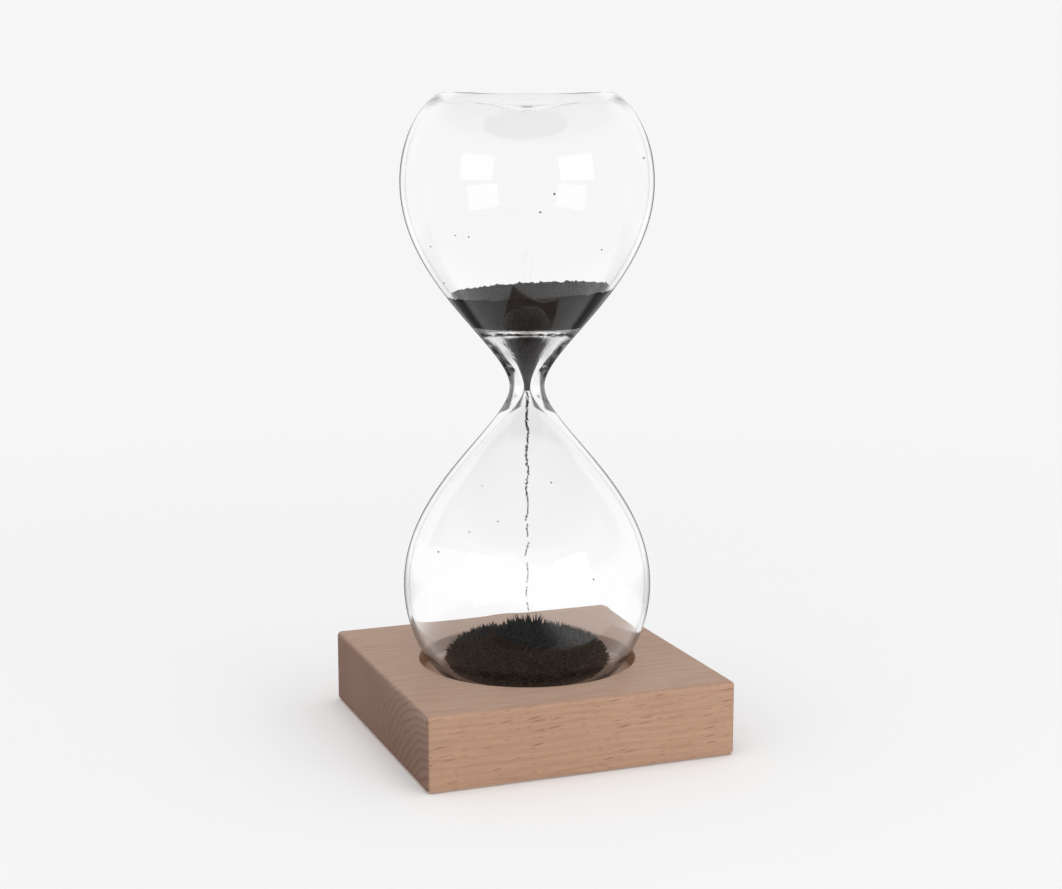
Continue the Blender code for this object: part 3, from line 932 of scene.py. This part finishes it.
@dataclass
class MagnetBase(Assembly):
    """The beech block with the bulb's seat, and the magnet and felt in its underside."""

    effects: SharedEffects
    edge_radius: float = 1.2 * MM
    seat_radius: float = 27.8 * MM
    seat_depth: float = 4.5 * MM
    lip_radius: float = 0.5 * MM
    fit_gap: float = 0.3 * MM
    felt_edge: float = 0.4 * MM
    magnet_chamfer: float = 0.6 * MM
    cut_above: float = 2 * MM
    cut_below: float = 1 * MM
    edge_spans: int = 6
    felt_spans: int = 5
    round_steps: int = 192

    def build(self) -> None:
        """Makes the block, the magnet and the felt, and hands them over."""
        felt_low, felt_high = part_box("pocket_cover")
        magnet_low, magnet_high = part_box("magnet")
        block = self._block(felt_high, magnet_high)
        self.hand_over(block, Body.BASE, Slot.BEECH, BeechFinish().material(self.effects), "base_block")
        magnet = self._disc("pocket_magnet", magnet_low, magnet_high, self.magnet_chamfer, 1)
        self.hand_over(magnet, Body.BASE, Slot.FERRITE, FerriteFinish().material(self.effects), "magnet")
        felt = self._disc("felt_cover", felt_low, felt_high, self.felt_edge, self.felt_spans)
        self.hand_over(felt, Body.BASE, Slot.FELT, FeltFinish().material(self.effects), "pocket_cover")

    def _disc(self, name: str, low: Vector, high: Vector, edge: float, spans: int) -> bpy.types.Object:
        """A disc with eased edges that fills a node's box.

        Args:
            name: The piece's name.
            low: The box's lowest corner.
            high: The box's highest corner.
            edge: Radius or chamfer of its edges.
            spans: Faces across each edge.

        Returns:
            The disc.
        """
        radius = high.x
        profile: list[Point] = [(0, low.z), (radius / 2, low.z)]
        profile += [(radius - edge + edge * s, low.z + edge - edge * c) for s, c in quarter_turn(spans)]
        profile += [(radius - edge + edge * c, high.z - edge + edge * s) for s, c in quarter_turn(spans)]
        profile += [(radius / 2, high.z), (0, high.z)]
        disc = Mesh.turned(name, profile, self.round_steps)
        disc.data.set_sharp_from_angle(angle=SHARP_ANGLE)
        return disc

    def _block(self, felt_high: Vector, magnet_high: Vector) -> bpy.types.Object:
        """The rounded block, its seat cut from above and its stepped pocket from below.

        Args:
            felt_high: Highest corner of the felt cover.
            magnet_high: Highest corner of the magnet.

        Returns:
            The block.
        """
        low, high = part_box("base_block")
        bm = bmesh.new()
        bmesh.ops.create_cube(bm, size=1.0)
        for vert in bm.verts:
            vert.co = Vector(tuple(low[i] if vert.co[i] < 0 else high[i] for i in range(3)))
        bmesh.ops.bevel(bm, geom=bm.edges[:], offset=self.edge_radius, segments=self.edge_spans, profile=0.5,
                        affect="EDGES")
        blank = Mesh.from_bmesh("block_blank", bm)
        floor, above = high.z - self.seat_depth, high.z + self.cut_above
        lip, rim = self.lip_radius, self.seat_radius
        seat: list[Point] = [(0, floor), (rim, floor)]
        seat += [(rim + lip - lip * c, high.z - lip + lip * s) for s, c in quarter_turn(self.edge_spans)]
        seat += [(rim + lip, above), (0, above)]
        ledge, pocket = felt_high.x + self.fit_gap, magnet_high.x + self.fit_gap
        step, roof = felt_high.z + self.fit_gap, magnet_high.z + self.fit_gap
        under = low.z - self.cut_below
        stepped: list[Point] = [(0, under), (ledge, under), (ledge, step), (pocket, step),
                                (pocket, roof), (0, roof)]
        cutters = [Mesh.turned("seat_cutter", seat, self.round_steps),
                   Mesh.turned("pocket_cutter", stepped, self.round_steps)]
        for cutter in cutters:
            cut = blank.modifiers.new("cut", "BOOLEAN")
            cut.object, cut.operation, cut.solver = cutter, "DIFFERENCE", "EXACT"
        rough = Mesh.baked(blank, "block_cut")
        for polygon in rough.data.polygons:
            polygon.use_smooth = True
        rough.data.set_sharp_from_angle(angle=SHARP_ANGLE)
        weighted = rough.modifiers.new("weighted", "WEIGHTED_NORMAL")
        weighted.keep_sharp = True
        block = Mesh.baked(rough, "beech_block")
        for helper in [*cutters, blank, rough]:
            Mesh.drop(helper)
        return block


@dataclass
class DoubleBulb(Assembly):
    """The blown vessel: two bulbs, a thick neck with a funnel above and a trumpet below, and the fused seal."""

    effects: SharedEffects
    neck_radius: float = 4.4 * MM
    bulb_reach: float = 51 * MM
    upper_reach: float = 73 * MM
    ring_radius: float = 20.5 * MM
    punt_radius: float = 13.5 * MM
    punt_depth: float = 3.2 * MM
    neck_flare: float = 10 * MM
    shoulder_fullness: float = 25 * MM
    crown_fullness: float = 14 * MM
    corner_fullness: float = 3 * MM
    wall: float = 1.2 * MM
    orifice_radius: float = 0.8 * MM
    throat_length: float = 4.5 * MM
    lip_radius: float = 8.5 * MM
    lip_rounding: float = 2.5 * MM
    funnel_reach: float = 15.5 * MM
    bowl_corner: float = 2.5 * MM
    trumpet_bend: float = 7 * MM
    trumpet_throat: float = 4 * MM
    hole_radius: float = 1.6 * MM
    seal_gap: float = 0.1 * MM
    seal_chamfer: float = 0.2 * MM
    seal_steps: int = 64
    seal_spans: int = 12
    seal_fullness: float = 0.8
    shoulder_spans: int = 56
    crown_spans: int = 40
    punt_spans: int = 24
    ring_shares: tuple[float, ...] = (0.03, 0.12, 0.5, 0.88, 0.97)
    round_steps: int = 144

    def __post_init__(self) -> None:
        """Takes the main sizes from the frame."""
        low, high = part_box("glass_vessel")
        self.neck_height = high.z - self.upper_reach
        self.reach = {Bulb.UPPER: self.upper_reach, Bulb.LOWER: self.neck_height - low.z}
        self.bulb_radius = high.x
        self.inner = {bulb: self.inner_half(bulb, 0.0) for bulb in Bulb}

    def outer_half(self, bulb: Bulb, stop: float) -> list[Point]:
        """Outside of one bulb from the neck to its end.

        Args:
            bulb: Which bulb.
            stop: Radius at which the end's curve stops.

        Returns:
            Points of radius and height above the neck.
        """
        shoulder = bezier((self.neck_radius, 0.0), (self.neck_radius, self.neck_flare),
                          (self.bulb_radius, self.bulb_reach - self.shoulder_fullness),
                          (self.bulb_radius, self.bulb_reach), self.shoulder_spans)
        return shoulder + self.end_half(bulb, 0.0, stop)[1:]

    def end_half(self, bulb: Bulb, inset: float, stop: float) -> list[Point]:
        """Crown, standing ring and punt of one bulb.

        Args:
            bulb: Which bulb.
            inset: Distance inwards from the outside.
            stop: Radius at which the curve stops.

        Returns:
            Points of radius and height above the neck.
        """
        widest, ring = self.bulb_radius - inset, self.ring_radius - inset / 2
        reach = self.reach[bulb] - inset
        points = bezier((widest, self.bulb_reach), (widest, self.bulb_reach + self.crown_fullness),
                        (ring + self.corner_fullness, reach), (ring, reach), self.crown_spans)
        points += [(ring + (self.punt_radius - ring) * share, reach) for share in self.ring_shares]
        for k in range(self.punt_spans + 1):
            radius = self.punt_radius + (stop - self.punt_radius) * k / self.punt_spans
            points.append((radius, reach - self.punt(radius)))
        return points

    def punt(self, radius: float) -> float:
        """Height of the dimple in a bulb's end at that radius."""
        if radius >= self.punt_radius:
            return 0.0
        return self.punt_depth * (1 + math.cos(math.pi * radius / self.punt_radius)) / 2

    def inner_half(self, bulb: Bulb, stop: float) -> list[Point]:
        """Inside of one bulb from the orifice, through its mouth, to its end.

        Args:
            bulb: Which bulb.
            stop: Radius at which the end's curve stops.

        Returns:
            Points of radius and height above the neck.
        """
        shoulder = bezier((self.bulb_radius, self.bulb_reach),
                          (self.bulb_radius, self.bulb_reach - self.shoulder_fullness),
                          (self.neck_radius, self.neck_flare), (self.neck_radius, 0.0), 200)
        wall: list[Point] = []
        for before, here, after in zip(shoulder, shoulder[1:], shoulder[2:]):
            run = Vector((after[0] - before[0], after[1] - before[1])).normalized()
            shifted = (here[0] + run.y * self.wall, here[1] - run.x * self.wall)
            if shifted[1] < self.funnel_reach + self.bowl_corner:
                break
            wall.append(shifted)
        wall = wall[::3] + ([wall[-1]] if (len(wall) - 1) % 3 else [])
        last, prior = wall[-1], wall[-2]
        slope = (last[0] - prior[0]) / (last[1] - prior[1])
        elbow = (last[0] + slope * (self.funnel_reach - last[1]), self.funnel_reach)
        lip = (self.lip_radius, self.funnel_reach)
        corner = bezier(last, elbow, elbow, lip, 16)
        funnel = bezier(lip, (self.lip_radius - self.lip_rounding, self.funnel_reach),
                        (self.orifice_radius, self.throat_length), (self.orifice_radius, 0.0), 32)
        if bulb is Bulb.LOWER:
            bend = (last[0] + slope * (self.trumpet_bend - last[1]), self.trumpet_bend)
            corner = bezier(last, bend, (self.orifice_radius, self.trumpet_throat),
                            (self.orifice_radius, 0.0), 48)
            funnel = corner[-1:]
        path = [(self.bulb_radius - self.wall, self.bulb_reach)] + wall + corner[1:] + funnel[1:]
        return path[::-1] + self.end_half(bulb, self.wall, stop)[1:]

    def wall_radius(self, height: float) -> float:
        """Inside radius at a height above the neck, or below it where the height is negative."""
        bulb = Bulb.UPPER if height > 0 else Bulb.LOWER
        rising = [p for p in self.inner[bulb] if p[1] <= self.bulb_reach + 1e-9]
        heights = np.maximum.accumulate(np.array([p[1] for p in rising]))
        return float(np.interp(abs(height), heights, [p[0] for p in rising]))

    def crown_inner(self, height: float) -> float:
        """Inside radius of the upper bulb past its widest place, at a height above the neck."""
        ring = self.ring_radius - self.wall
        crown = [p for p in self.inner[Bulb.UPPER] if p[1] >= self.bulb_reach and p[0] >= ring]
        return float(np.interp(height, [p[1] for p in crown], [p[0] for p in crown]))

    def floor_height(self, radius: float) -> float:
        """Height of the lower bulb's inner floor in the frame, at that radius."""
        ring = self.ring_radius - self.wall / 2
        depth = self.reach[Bulb.LOWER] - self.wall - self.punt(radius)
        if radius > ring:
            crown = [p for p in self.inner[Bulb.LOWER] if p[1] >= self.bulb_reach and p[0] >= ring - 1e-9]
            depth = float(np.interp(-radius, [-p[0] for p in crown], [p[1] for p in crown]))
        return self.neck_height - depth

    def build(self) -> None:
        """Makes the vessel and its seal, and hands them over."""
        glass = ClearGlassFinish().material(self.effects)
        top_out = self.outer_half(Bulb.UPPER, self.hole_radius)
        top_in = self.inner_half(Bulb.UPPER, self.hole_radius)
        low_out, low_in = self.outer_half(Bulb.LOWER, 0.0), self.inner_half(Bulb.LOWER, 0.0)
        at = self.neck_height
        profile = [(r, at - h) for r, h in low_out[::-1]] + [(r, at + h) for r, h in top_out[1:]]
        profile += [(r, at + h) for r, h in top_in[::-1]] + [(r, at - h) for r, h in low_in[1:]]
        vessel = Mesh.turned("blown_glass", profile, self.round_steps)
        self.hand_over(vessel, Body.GLASS, Slot.GLASS, glass, "glass_vessel")
        self.hand_over(self._seal(), Body.GLASS, Slot.GLASS, glass, "fill_seal")

    def _seal(self) -> bpy.types.Object:
        """The melted drop that closes the filling hole in the upper punt."""
        low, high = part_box("fill_seal")
        bead, stem = high.x, self.hole_radius - self.seal_gap
        under = self.neck_height + self.upper_reach - self.punt(bead) + self.seal_gap
        profile: list[Point] = [(0, low.z), (stem * 0.75, low.z), (stem, low.z + self.seal_chamfer),
                                (stem, under)]
        profile += [(bead * c ** self.seal_fullness, under + (high.z - under) * s)
                    for s, c in quarter_turn(self.seal_spans)]
        return Mesh.turned("seal_drop", profile, self.seal_steps)


@dataclass
class Filings(Assembly):
    """The iron filings: the load above, the falling thread, the bristling heap below and loose specks."""

    effects: SharedEffects
    bulb: DoubleBulb
    level: float = 24 * MM
    tilt: float = math.radians(3)
    tilt_towards: float = math.radians(-20)
    plug: float = 1.0 * MM
    glass_gap: float = 0.08 * MM
    pressed: float = 0.5 * MM
    sunk: float = 0.1 * MM
    heap_radius: float = 20.5 * MM
    ring_radius: float = 14.5 * MM
    ring_height: float = 7.5 * MM
    valley_depth: float = 1.4 * MM
    crown_radius: float = 7.0 * MM
    crown_height: float = 5.1 * MM
    crown_needle: float = 2.8 * MM
    coat_needle: float = 1.5 * MM
    crown_reach: float = 1.1
    foot_share: float = 0.985
    needle_root: float = 0.6
    grain_length: float = 0.3 * MM
    least_length: float = 0.1 * MM
    ripples: tuple[Triple, ...] = ((0.3 * MM, 3.2 * MM, 0.003), (0.25 * MM, 1.1 * MM, 0.007))
    chips: Planting = Planting(2.2e6, 0.44 * MM, 3.0, 11)
    needles: Planting = Planting(2.6e6, 0.34 * MM, 0.6, 31)
    tufts: Planting = Planting(2.6e6, 0.48 * MM, 0.55, 47)
    stream_start: float = 1.2 * MM
    stream_spacing: float = 0.13 * MM
    stream_grain: float = 0.27 * MM
    stream_scatter: float = 0.27 * MM
    stream_foot: float = 0.5
    stream_sway: float = 0.3 * MM
    stream_wave: float = 9 * MM
    stream_seed: int = 23
    thread_spans: int = 8
    wall_spans: int = 90
    top_spans: int = 40
    heap_spans: int = 44
    round_steps: int = 128

    def build(self) -> None:
        """Makes all the filings and hands them over."""
        self.packed, self.loose, self.drawn, self.resting = (
            finish.material(self.effects)
            for finish in (PACKED_FILINGS, LOOSE_FILINGS, SHADED_CROWN_FILINGS, RESTING_FILINGS))
        self._upper()
        self._stream()
        self._heap()
        self._specks()

    def _top_height(self, x: float, y: float) -> float:
        """Height above the neck of the upper load's uneven, tilted top."""
        slope = math.tan(self.tilt) * (x * math.cos(self.tilt_towards) + y * math.sin(self.tilt_towards))
        rough = sum(depth * noise.noise(Vector((x, y, layer)) / width) for depth, width, layer in self.ripples)
        return self.level + slope + rough

    def _load_radius(self, height: float) -> float:
        """Radius of the upper load, pressed against the bowl and free of the funnel below it."""
        resting = smooth_step(0.2 * MM, 1.2 * MM, height - self.bulb.funnel_reach)
        return self.bulb.wall_radius(height) - self.glass_gap + (self.glass_gap + self.pressed) * resting

    def _upper(self) -> None:
        """The load that still waits in the upper bulb."""
        at, spans = self.bulb.neck_height, self.wall_spans
        angles = ring_angles(self.round_steps)
        rims = []
        for a in angles:
            height = self.level
            for _ in range(4):
                radius = self._load_radius(height)
                height = self._top_height(radius * math.cos(a), radius * math.sin(a))
            rims.append(height)
        rings: list[list[Vector]] = [[Vector((0, 0, at - self.plug))]]
        for k in range(spans + 1):
            t = (k / spans) ** 1.3
            heights = [-self.plug + (rim + self.plug) * t for rim in rims]
            rings.append([on_ring(self._load_radius(h), a, at + h) for a, h in zip(angles, heights)])
        edges = rings[-1]
        for k in range(1, self.top_spans):
            share = 1 - k / self.top_spans
            places = [(edge.x * share, edge.y * share) for edge in edges]
            rings.append([Vector((x, y, at + self._top_height(x, y))) for x, y in places])
        rings.append([Vector((0, 0, at + self._top_height(0, 0)))])
        load = Mesh.from_rings("upper_load", rings)

        def length(place: Vector, normal: Vector) -> float:
            """Grains lie on the top alone."""
            return self.grain_length if normal.z > 0.5 and place.z > at + 18 * MM else 0.0

        surface = self._coat_surface(load, length)
        grains = SurfaceScatter(Grain.CHIP).plant(surface, "upper_grains", self.chips.inputs(self.resting))
        Mesh.drop(surface)
        self.hand_over(load, Body.GLASS, Slot.FILINGS, self.packed, "upper_sand")
        self.hand_over(grains, Body.GLASS, Slot.FILINGS, self.resting)

    def _coat_surface(self, source: bpy.types.Object,
                      length: Callable[[Vector, Vector], float]) -> bpy.types.Object:
        """A copy of the part of a surface that carries grains, with their length kept on its points.

        Args:
            source: The object to copy.
            length: Grain length from a face's centre and normal; none where it is zero.

        Returns:
            The copied faces.
        """
        bm = bmesh.new()
        bm.from_mesh(source.data)
        bare = [f for f in bm.faces if length(f.calc_center_median(), f.normal) <= 0]
        bmesh.ops.delete(bm, geom=bare, context="FACES")
        layer = bm.verts.layers.float.new(SurfaceScatter.LENGTH)
        for vert in bm.verts:
            vert[layer] = max(length(vert.co, vert.normal), self.least_length)
        return Mesh.from_bmesh("grain_carrier", bm)

    def _stream(self) -> None:
        """The wavering thread of filings, whole at the throat and broken further down."""
        top = self.bulb.neck_height - self.stream_start
        foot = self._heap_height(0.0) + self.crown_needle * 0.4
        state = np.random.default_rng(5)
        bm = bmesh.new()
        height = top
        while height > foot:
            fallen = (top - height) / (top - foot)
            run = (4.8 - 3.2 * fallen) * MM * state.uniform(0.5, 1.4)
            gap = (3.4 * fallen ** 2.4) * MM * state.uniform(0.3, 1.6)
            start, end = height, max(height - run, foot)
            lean = state.uniform(-0.5, 0.5) * MM
            thread = []
            for k in range(self.thread_spans + 1):
                share = k / self.thread_spans
                z = start + (end - start) * k / self.thread_spans
                settled = min((top - z) / (6 * MM), 1)
                sway = self.stream_sway * math.sin((top - z) / self.stream_wave * 2 * math.pi) * settled
                slant = lean * (share - 0.5)
                thread.append(bm.verts.new((sway + slant, 0.6 * sway - 0.5 * slant, z)))
            for a, b in zip(thread, thread[1:]):
                bm.edges.new((a, b))
            height = end - gap
        threads = Mesh.from_bmesh("stream_threads", bm)
        stream = ThreadScatter().plant(threads, "falling_filings", {
            "Spacing": self.stream_spacing, "Grain Size": self.stream_grain, "Scatter": self.stream_scatter,
            "Top": top, "Foot": foot, "Foot Share": self.stream_foot, "Seed": self.stream_seed,
            "Finish": self.loose})
        Mesh.drop(threads)
        self.hand_over(stream, Body.GLASS, Slot.FILINGS, self.loose, "sand_stream")

    def _heap_height(self, radius: float) -> float:
        """Height in the frame of the heap's needle tips, taken as an even surface."""
        outer = max(radius - self.ring_radius, 0) / (self.heap_radius - self.ring_radius)
        inside = max(1 - radius / self.ring_radius, 0)
        rise = self.ring_height * math.sqrt(max(1 - outer * outer, 0))
        rise -= self.valley_depth * math.sin(min(2 * inside, 1) * math.pi / 2)
        rise += self.crown_height * math.exp(-(radius / self.crown_radius) ** 4)
        return self.bulb.floor_height(self.heap_radius) + self.glass_gap + rise

    def _needle_length(self, place: Vector) -> float:
        """Length of the needles that stand at a place on the heap."""
        radius = math.hypot(place.x, place.y)
        crown = math.exp(-(radius / (self.crown_radius * self.crown_reach)) ** 4)
        low = smooth_step(0.2 * MM, 2.5 * MM, place.z - self.bulb.floor_height(self.heap_radius))
        return (self.coat_needle + (self.crown_needle - self.coat_needle) * crown) * (0.25 + 0.75 * low)

    def _heap(self) -> None:
        """The heap that the magnet draws up into a ring and a bristling crown."""
        spans, foot = self.heap_spans, self.heap_radius * self.foot_share
        angles = ring_angles(self.round_steps)
        rings: list[list[Vector]] = [[Vector((0, 0, self.bulb.floor_height(0.0) - self.sunk))]]
        for k in range(1, spans):
            radius = foot * k / spans
            height = self.bulb.floor_height(radius) - self.sunk
            rings.append([on_ring(radius, a, height) for a in angles])
        for k in range(spans, 0, -1):
            share = math.sin(math.pi / 2 * k / spans)
            radius = foot * share
            tips, floor = self._heap_height(radius), self.bulb.floor_height(radius) - self.sunk
            ring = []
            for a in angles:
                x, y = radius * math.cos(a), radius * math.sin(a)
                lump = 0.45 * MM * noise.noise(Vector((x, y, 0.0)) / (4.0 * MM)) * (1 - share ** 8)
                inset = self.needle_root * self._needle_length(Vector((x, y, tips))) * (1 - share ** 30)
                ring.append(Vector((x, y, max(tips + lump - inset, floor + 0.05 * MM))))
            rings.append(ring)
        rings.append([Vector((0, 0, self._heap_height(0.0) - self.needle_root * self.crown_needle))])
        core = Mesh.from_rings("heap_core", rings)
        planter = SurfaceScatter(Grain.NEEDLE)
        coats = []
        # The crown's tufts wear the darker copy of the filings, which is painted shade.
        for name, crowned, planting, dress in (("heap_needles", False, self.needles, self.loose),
                                               ("heap_tufts", True, self.tufts, self.drawn)):
            surface = self._coat_surface(core, self._coat_length(crowned))
            coats.append((planter.plant(surface, name, planting.inputs(dress)), dress))
            Mesh.drop(surface)
        self.hand_over(core, Body.GLASS, Slot.FILINGS, self.packed, "lower_sand")
        for coat, dress in coats:
            self.hand_over(coat, Body.GLASS, Slot.FILINGS, dress)

    def _coat_length(self, crowned: bool) -> Callable[[Vector, Vector], float]:
        """Needle length on the crown alone, or on all the rest of the heap.

        Args:
            crowned: Whether the needles stand on the crown.

        Returns:
            The length from a place and its normal; zero where no needle stands.
        """
        edge = self.crown_radius * self.crown_reach

        def length(place: Vector, normal: Vector) -> float:
            """Needles stand on faces that don't look down."""
            stands = normal.z > -0.2 and (place.xy.length <= edge) == crowned
            return self._needle_length(place) if stands else 0.0

        return length

    def _specks(self) -> None:
        """Single filings that cling to the inside of the bulbs."""
        spots = ((27.6, 57.2, -1), (6.3, 49.6, -1), (-16.7, 39.7, -1), (-22.8, 36.5, -1), (-15.4, 35.9, 1),
                 (-21.3, 26.5, -1), (-10.9, -22.9, -1), (6.6, -29.3, 1), (-13.9, -33.1, -1), (19.5, 33.0, 1),
                 (3.5, 42.0, 1), (-8.0, -41.0, 1), (16.0, -44.0, -1), (-24.0, -47.0, 1))
        state = np.random.default_rng(8)
        bm = bmesh.new()
        for side, height, wall in spots:
            crowned = abs(height) * MM > self.bulb.bulb_reach
            reach = self.bulb.crown_inner(abs(height) * MM) if crowned else self.bulb.wall_radius(height * MM)
            size = state.uniform(0.22, 0.42) * MM
            radius = reach - size * 1.2
            offset = min(abs(side) * MM, radius * 0.98) * (1 if side > 0 else -1)
            place = RIGHT * offset + AHEAD * wall * math.sqrt(radius * radius - offset * offset)
            place.z = self.bulb.neck_height + height * MM
            made = bmesh.ops.create_icosphere(bm, subdivisions=1, radius=size)["verts"]
            stretch = Vector(state.uniform(0.55, 1.0, 3))
            for vert in made:
                vert.co = place + vert.co * stretch
        self.hand_over(Mesh.from_bmesh("clinging_filings", bm), Body.GLASS, Slot.FILINGS, self.loose)


@dataclass
class Camera:
    """The photograph's view."""

    pitch: float = 10.13
    distance: float = 0.4817
    height: float = 0.1604
    focal_pixels: float = 1927.0
    shift: float = 0.0037
    sensor: float = 36.0
    clip: Span = (0.01, 20.0)

    def build(self) -> bpy.types.Object:
        """Makes the camera and gives it to the scene.

        Returns:
            The camera object.
        """
        data = bpy.data.cameras.new("photo_view")
        data.sensor_width = self.sensor
        data.lens = self.sensor * self.focal_pixels / IMAGE_WIDTH
        data.shift_x = self.shift
        data.clip_start, data.clip_end = self.clip
        made = bpy.data.objects.new("photo_view", data)
        across, back = math.sin(VIEW_AZIMUTH), math.cos(VIEW_AZIMUTH)
        made.location = (self.distance * across, -self.distance * back, self.height)
        made.rotation_euler = (math.radians(90 - self.pitch), 0, VIEW_AZIMUTH)
        bpy.context.scene.collection.objects.link(made)
        bpy.context.scene.camera = made
        return made


@dataclass(frozen=True)
class SoftBox:
    """One rectangular studio lamp that looks at the object."""

    name: str
    azimuth: float
    elevation: float
    width: float
    height: float
    radiance: float
    distance: float = 1.2
    aim_height: float = 0.09
    mirrored: bool = True

    def build(self) -> bpy.types.Object:
        """Makes the lamp.

        Returns:
            The lamp object.
        """
        data = bpy.data.lights.new(self.name, "AREA")
        data.shape, data.size, data.size_y = "RECTANGLE", self.width, self.height
        data.energy = self.radiance * math.pi * self.width * self.height
        made = bpy.data.objects.new(self.name, data)
        turn, rise = math.radians(self.azimuth), math.radians(self.elevation)
        back = Vector((math.sin(turn) * math.cos(rise), -math.cos(turn) * math.cos(rise), math.sin(rise)))
        made.location = Vector((0, 0, self.aim_height)) + back * self.distance
        made.rotation_euler = (-back).to_track_quat("-Z", "Y").to_euler()
        made.visible_glossy = made.visible_transmission = self.mirrored
        bpy.context.scene.collection.objects.link(made)
        return made


@dataclass
class Studio:
    """Pale floor, soft lamps, and a pale surround with a dark flag that reflections alone see."""

    backdrop: float = 0.922
    lifted: float = 1.0
    lift_drop: Span = (-0.15, -0.08)
    lift_width: Span = (0.7, 0.85)
    mirror_level: float = 1.0
    mirror_zenith: float = 0.05
    mirror_fall: Span = (0.45, 0.75)
    flag_width: Span = (0.90, 0.975)
    flag_top: Span = (0.04, 0.12)
    flag_level: float = 0.06
    near_rise: Span = (0.036, 0.05)
    near_start: float = 0.028
    near_tone: float = 0.2
    sheen: Span = (0.015, 0.05)
    sheen_share: float = 0.1
    shade: Span = (0.05, 0.1)
    ambient: float = 0.66
    floor_tone: float = 0.9
    floor_radius: float = 0.8
    floor_drop: float = 0.05 * MM
    floor_steps: int = 96
    floor_skip: float = 1 * MM
    fade: Span = (0.12, 0.5)
    bounces: int = 24
    clear_bounces: int = 16
    lamps: tuple[SoftBox, ...] = (
        SoftBox("right_box", 24.7, 14.5, 0.69, 0.40, 1.05),
        SoftBox("left_box", -67, 14.5, 0.66, 0.40, 0.95),
        SoftBox("right_fill", 24.7, 14.5, 0.69, 0.40, 1.95, mirrored=False),
        SoftBox("overhead_box", 10, 84, 2.4, 2.4, 1.9, 3.0, mirrored=False))

    def build(self) -> None:
        """Makes the surround, the floor and the lamps."""
        self._surround()
        self._floor()
        for lamp in self.lamps:
            lamp.build()
        scene = bpy.context.scene
        scene.view_settings.view_transform = "Standard"
        scene.cycles.max_bounces = self.bounces
        scene.cycles.transmission_bounces = scene.cycles.glossy_bounces = self.bounces
        scene.cycles.transparent_max_bounces = self.clear_bounces

    def _surround(self) -> None:
        """The world: pale to the eye and through glass, flagged in reflections, softer for diffuse light."""
        world = bpy.data.worlds.new("pale_surround")
        world.use_nodes = True
        world.node_tree.nodes.clear()
        g = Graph(world.node_tree)
        path = g.node("ShaderNodeLightPath").outputs
        seen = g.math("MAXIMUM", path["Is Camera Ray"],
                      g.math("MAXIMUM", path["Is Glossy Ray"], path["Is Transmission Ray"]))
        heading = g.node("ShaderNodeTexCoord").outputs["Generated"]
        upward, behind = g.parts(heading)[2], g.reach(heading, AHEAD)
        mirror = g.span(upward, *self.mirror_fall, self.mirror_level, self.mirror_zenith)
        flag = g.product(g.span(behind, *self.flag_width), g.span(upward, *self.flag_top, 1.0, 0.0))
        mirror = g.between(flag, mirror, self.flag_level)
        below = g.product(g.span(upward, *self.lift_drop, 1.0, 0.0), g.span(behind, *self.lift_width),
                          path["Is Transmission Ray"])
        level = g.between(below, self.backdrop, self.lifted)
        level = g.between(path["Is Reflection Ray"], level, mirror)
        pale = g.node("ShaderNodeBackground", {"Color": grey(1.0), "Strength": level})
        light = g.node("ShaderNodeBackground", {"Color": grey(1.0), "Strength": self.ambient})
        mixed = g.node("ShaderNodeMixShader", {0: seen, 1: light.outputs[0], 2: pale.outputs[0]})
        g.node("ShaderNodeOutputWorld", {"Surface": mixed.outputs[0]})
        bpy.context.scene.world = world

    def _floor(self) -> None:
        """A pale floor that fades into the surround, and is dark to what mirrors it from close by."""
        profile = [(0, -self.floor_drop), (self.floor_radius, -self.floor_drop)]
        floor = Mesh.turned("pale_floor", profile, self.floor_steps)
        if floor.data.polygons[0].normal.z < 0:
            floor.data.flip_normals()
        material = bpy.data.materials.new("pale_floor")
        material.use_nodes = True
        material.node_tree.nodes.clear()
        g = Graph(material.node_tree)
        place = g.node("ShaderNodeTexCoord").outputs["Object"]
        path = g.node("ShaderNodeLightPath").outputs
        away = g.length(place)
        behind = g.span(g.reach(place, AHEAD), *self.shade)

        # A mirrored ray's starting height, from its length and from how far out it lands.
        travel = g.math("POWER", g.math("SUBTRACT", away, self.near_start), 2.0)
        rise = g.math("SUBTRACT", g.math("POWER", path["Ray Length"], 2.0), travel)
        near = g.product(g.span(rise, *(limit ** 2 for limit in self.near_rise), 1.0, 0.0),
                         g.math("MINIMUM", path["Glossy Depth"], 1.0),
                         g.span(g.reach(place, RIGHT), *self.sheen, 1.0, self.sheen_share))
        tint = g.blend(near, grey(self.floor_tone), grey(self.near_tone))
        shaded = g.product(behind, path["Is Reflection Ray"])
        matt = g.node("ShaderNodeBsdfDiffuse", {"Color": g.blend(shaded, tint, grey(self.flag_level))})

        # Clear where it fades out, from below, and behind the object as seen through glass.
        beneath = g.math("MAXIMUM", g.node("ShaderNodeNewGeometry").outputs["Backfacing"],
                         g.math("LESS_THAN", path["Ray Length"], self.floor_skip))
        beyond = g.product(behind, path["Is Transmission Ray"])
        opened = g.math("MAXIMUM", g.span(away, *self.fade), g.math("MAXIMUM", beneath, beyond))
        clear = g.node("ShaderNodeBsdfTransparent")
        mixed = g.node("ShaderNodeMixShader", {0: opened, 1: matt.outputs[0], 2: clear.outputs[0]})
        g.node("ShaderNodeOutputMaterial", {"Surface": mixed.outputs[0]})
        floor.data.materials.append(material)


def main() -> None:
    """Builds the camera, the studio and the object's sub-assemblies in order."""
    logging.basicConfig(level=logging.INFO, format="%(name)s: %(message)s")
    Camera().build()
    Studio().build()
    effects = SharedEffects()
    MagnetBase(effects).build()
    bulb = DoubleBulb(effects)
    bulb.build()
    Filings(effects, bulb).build()


if __name__ == "__main__":
    main()
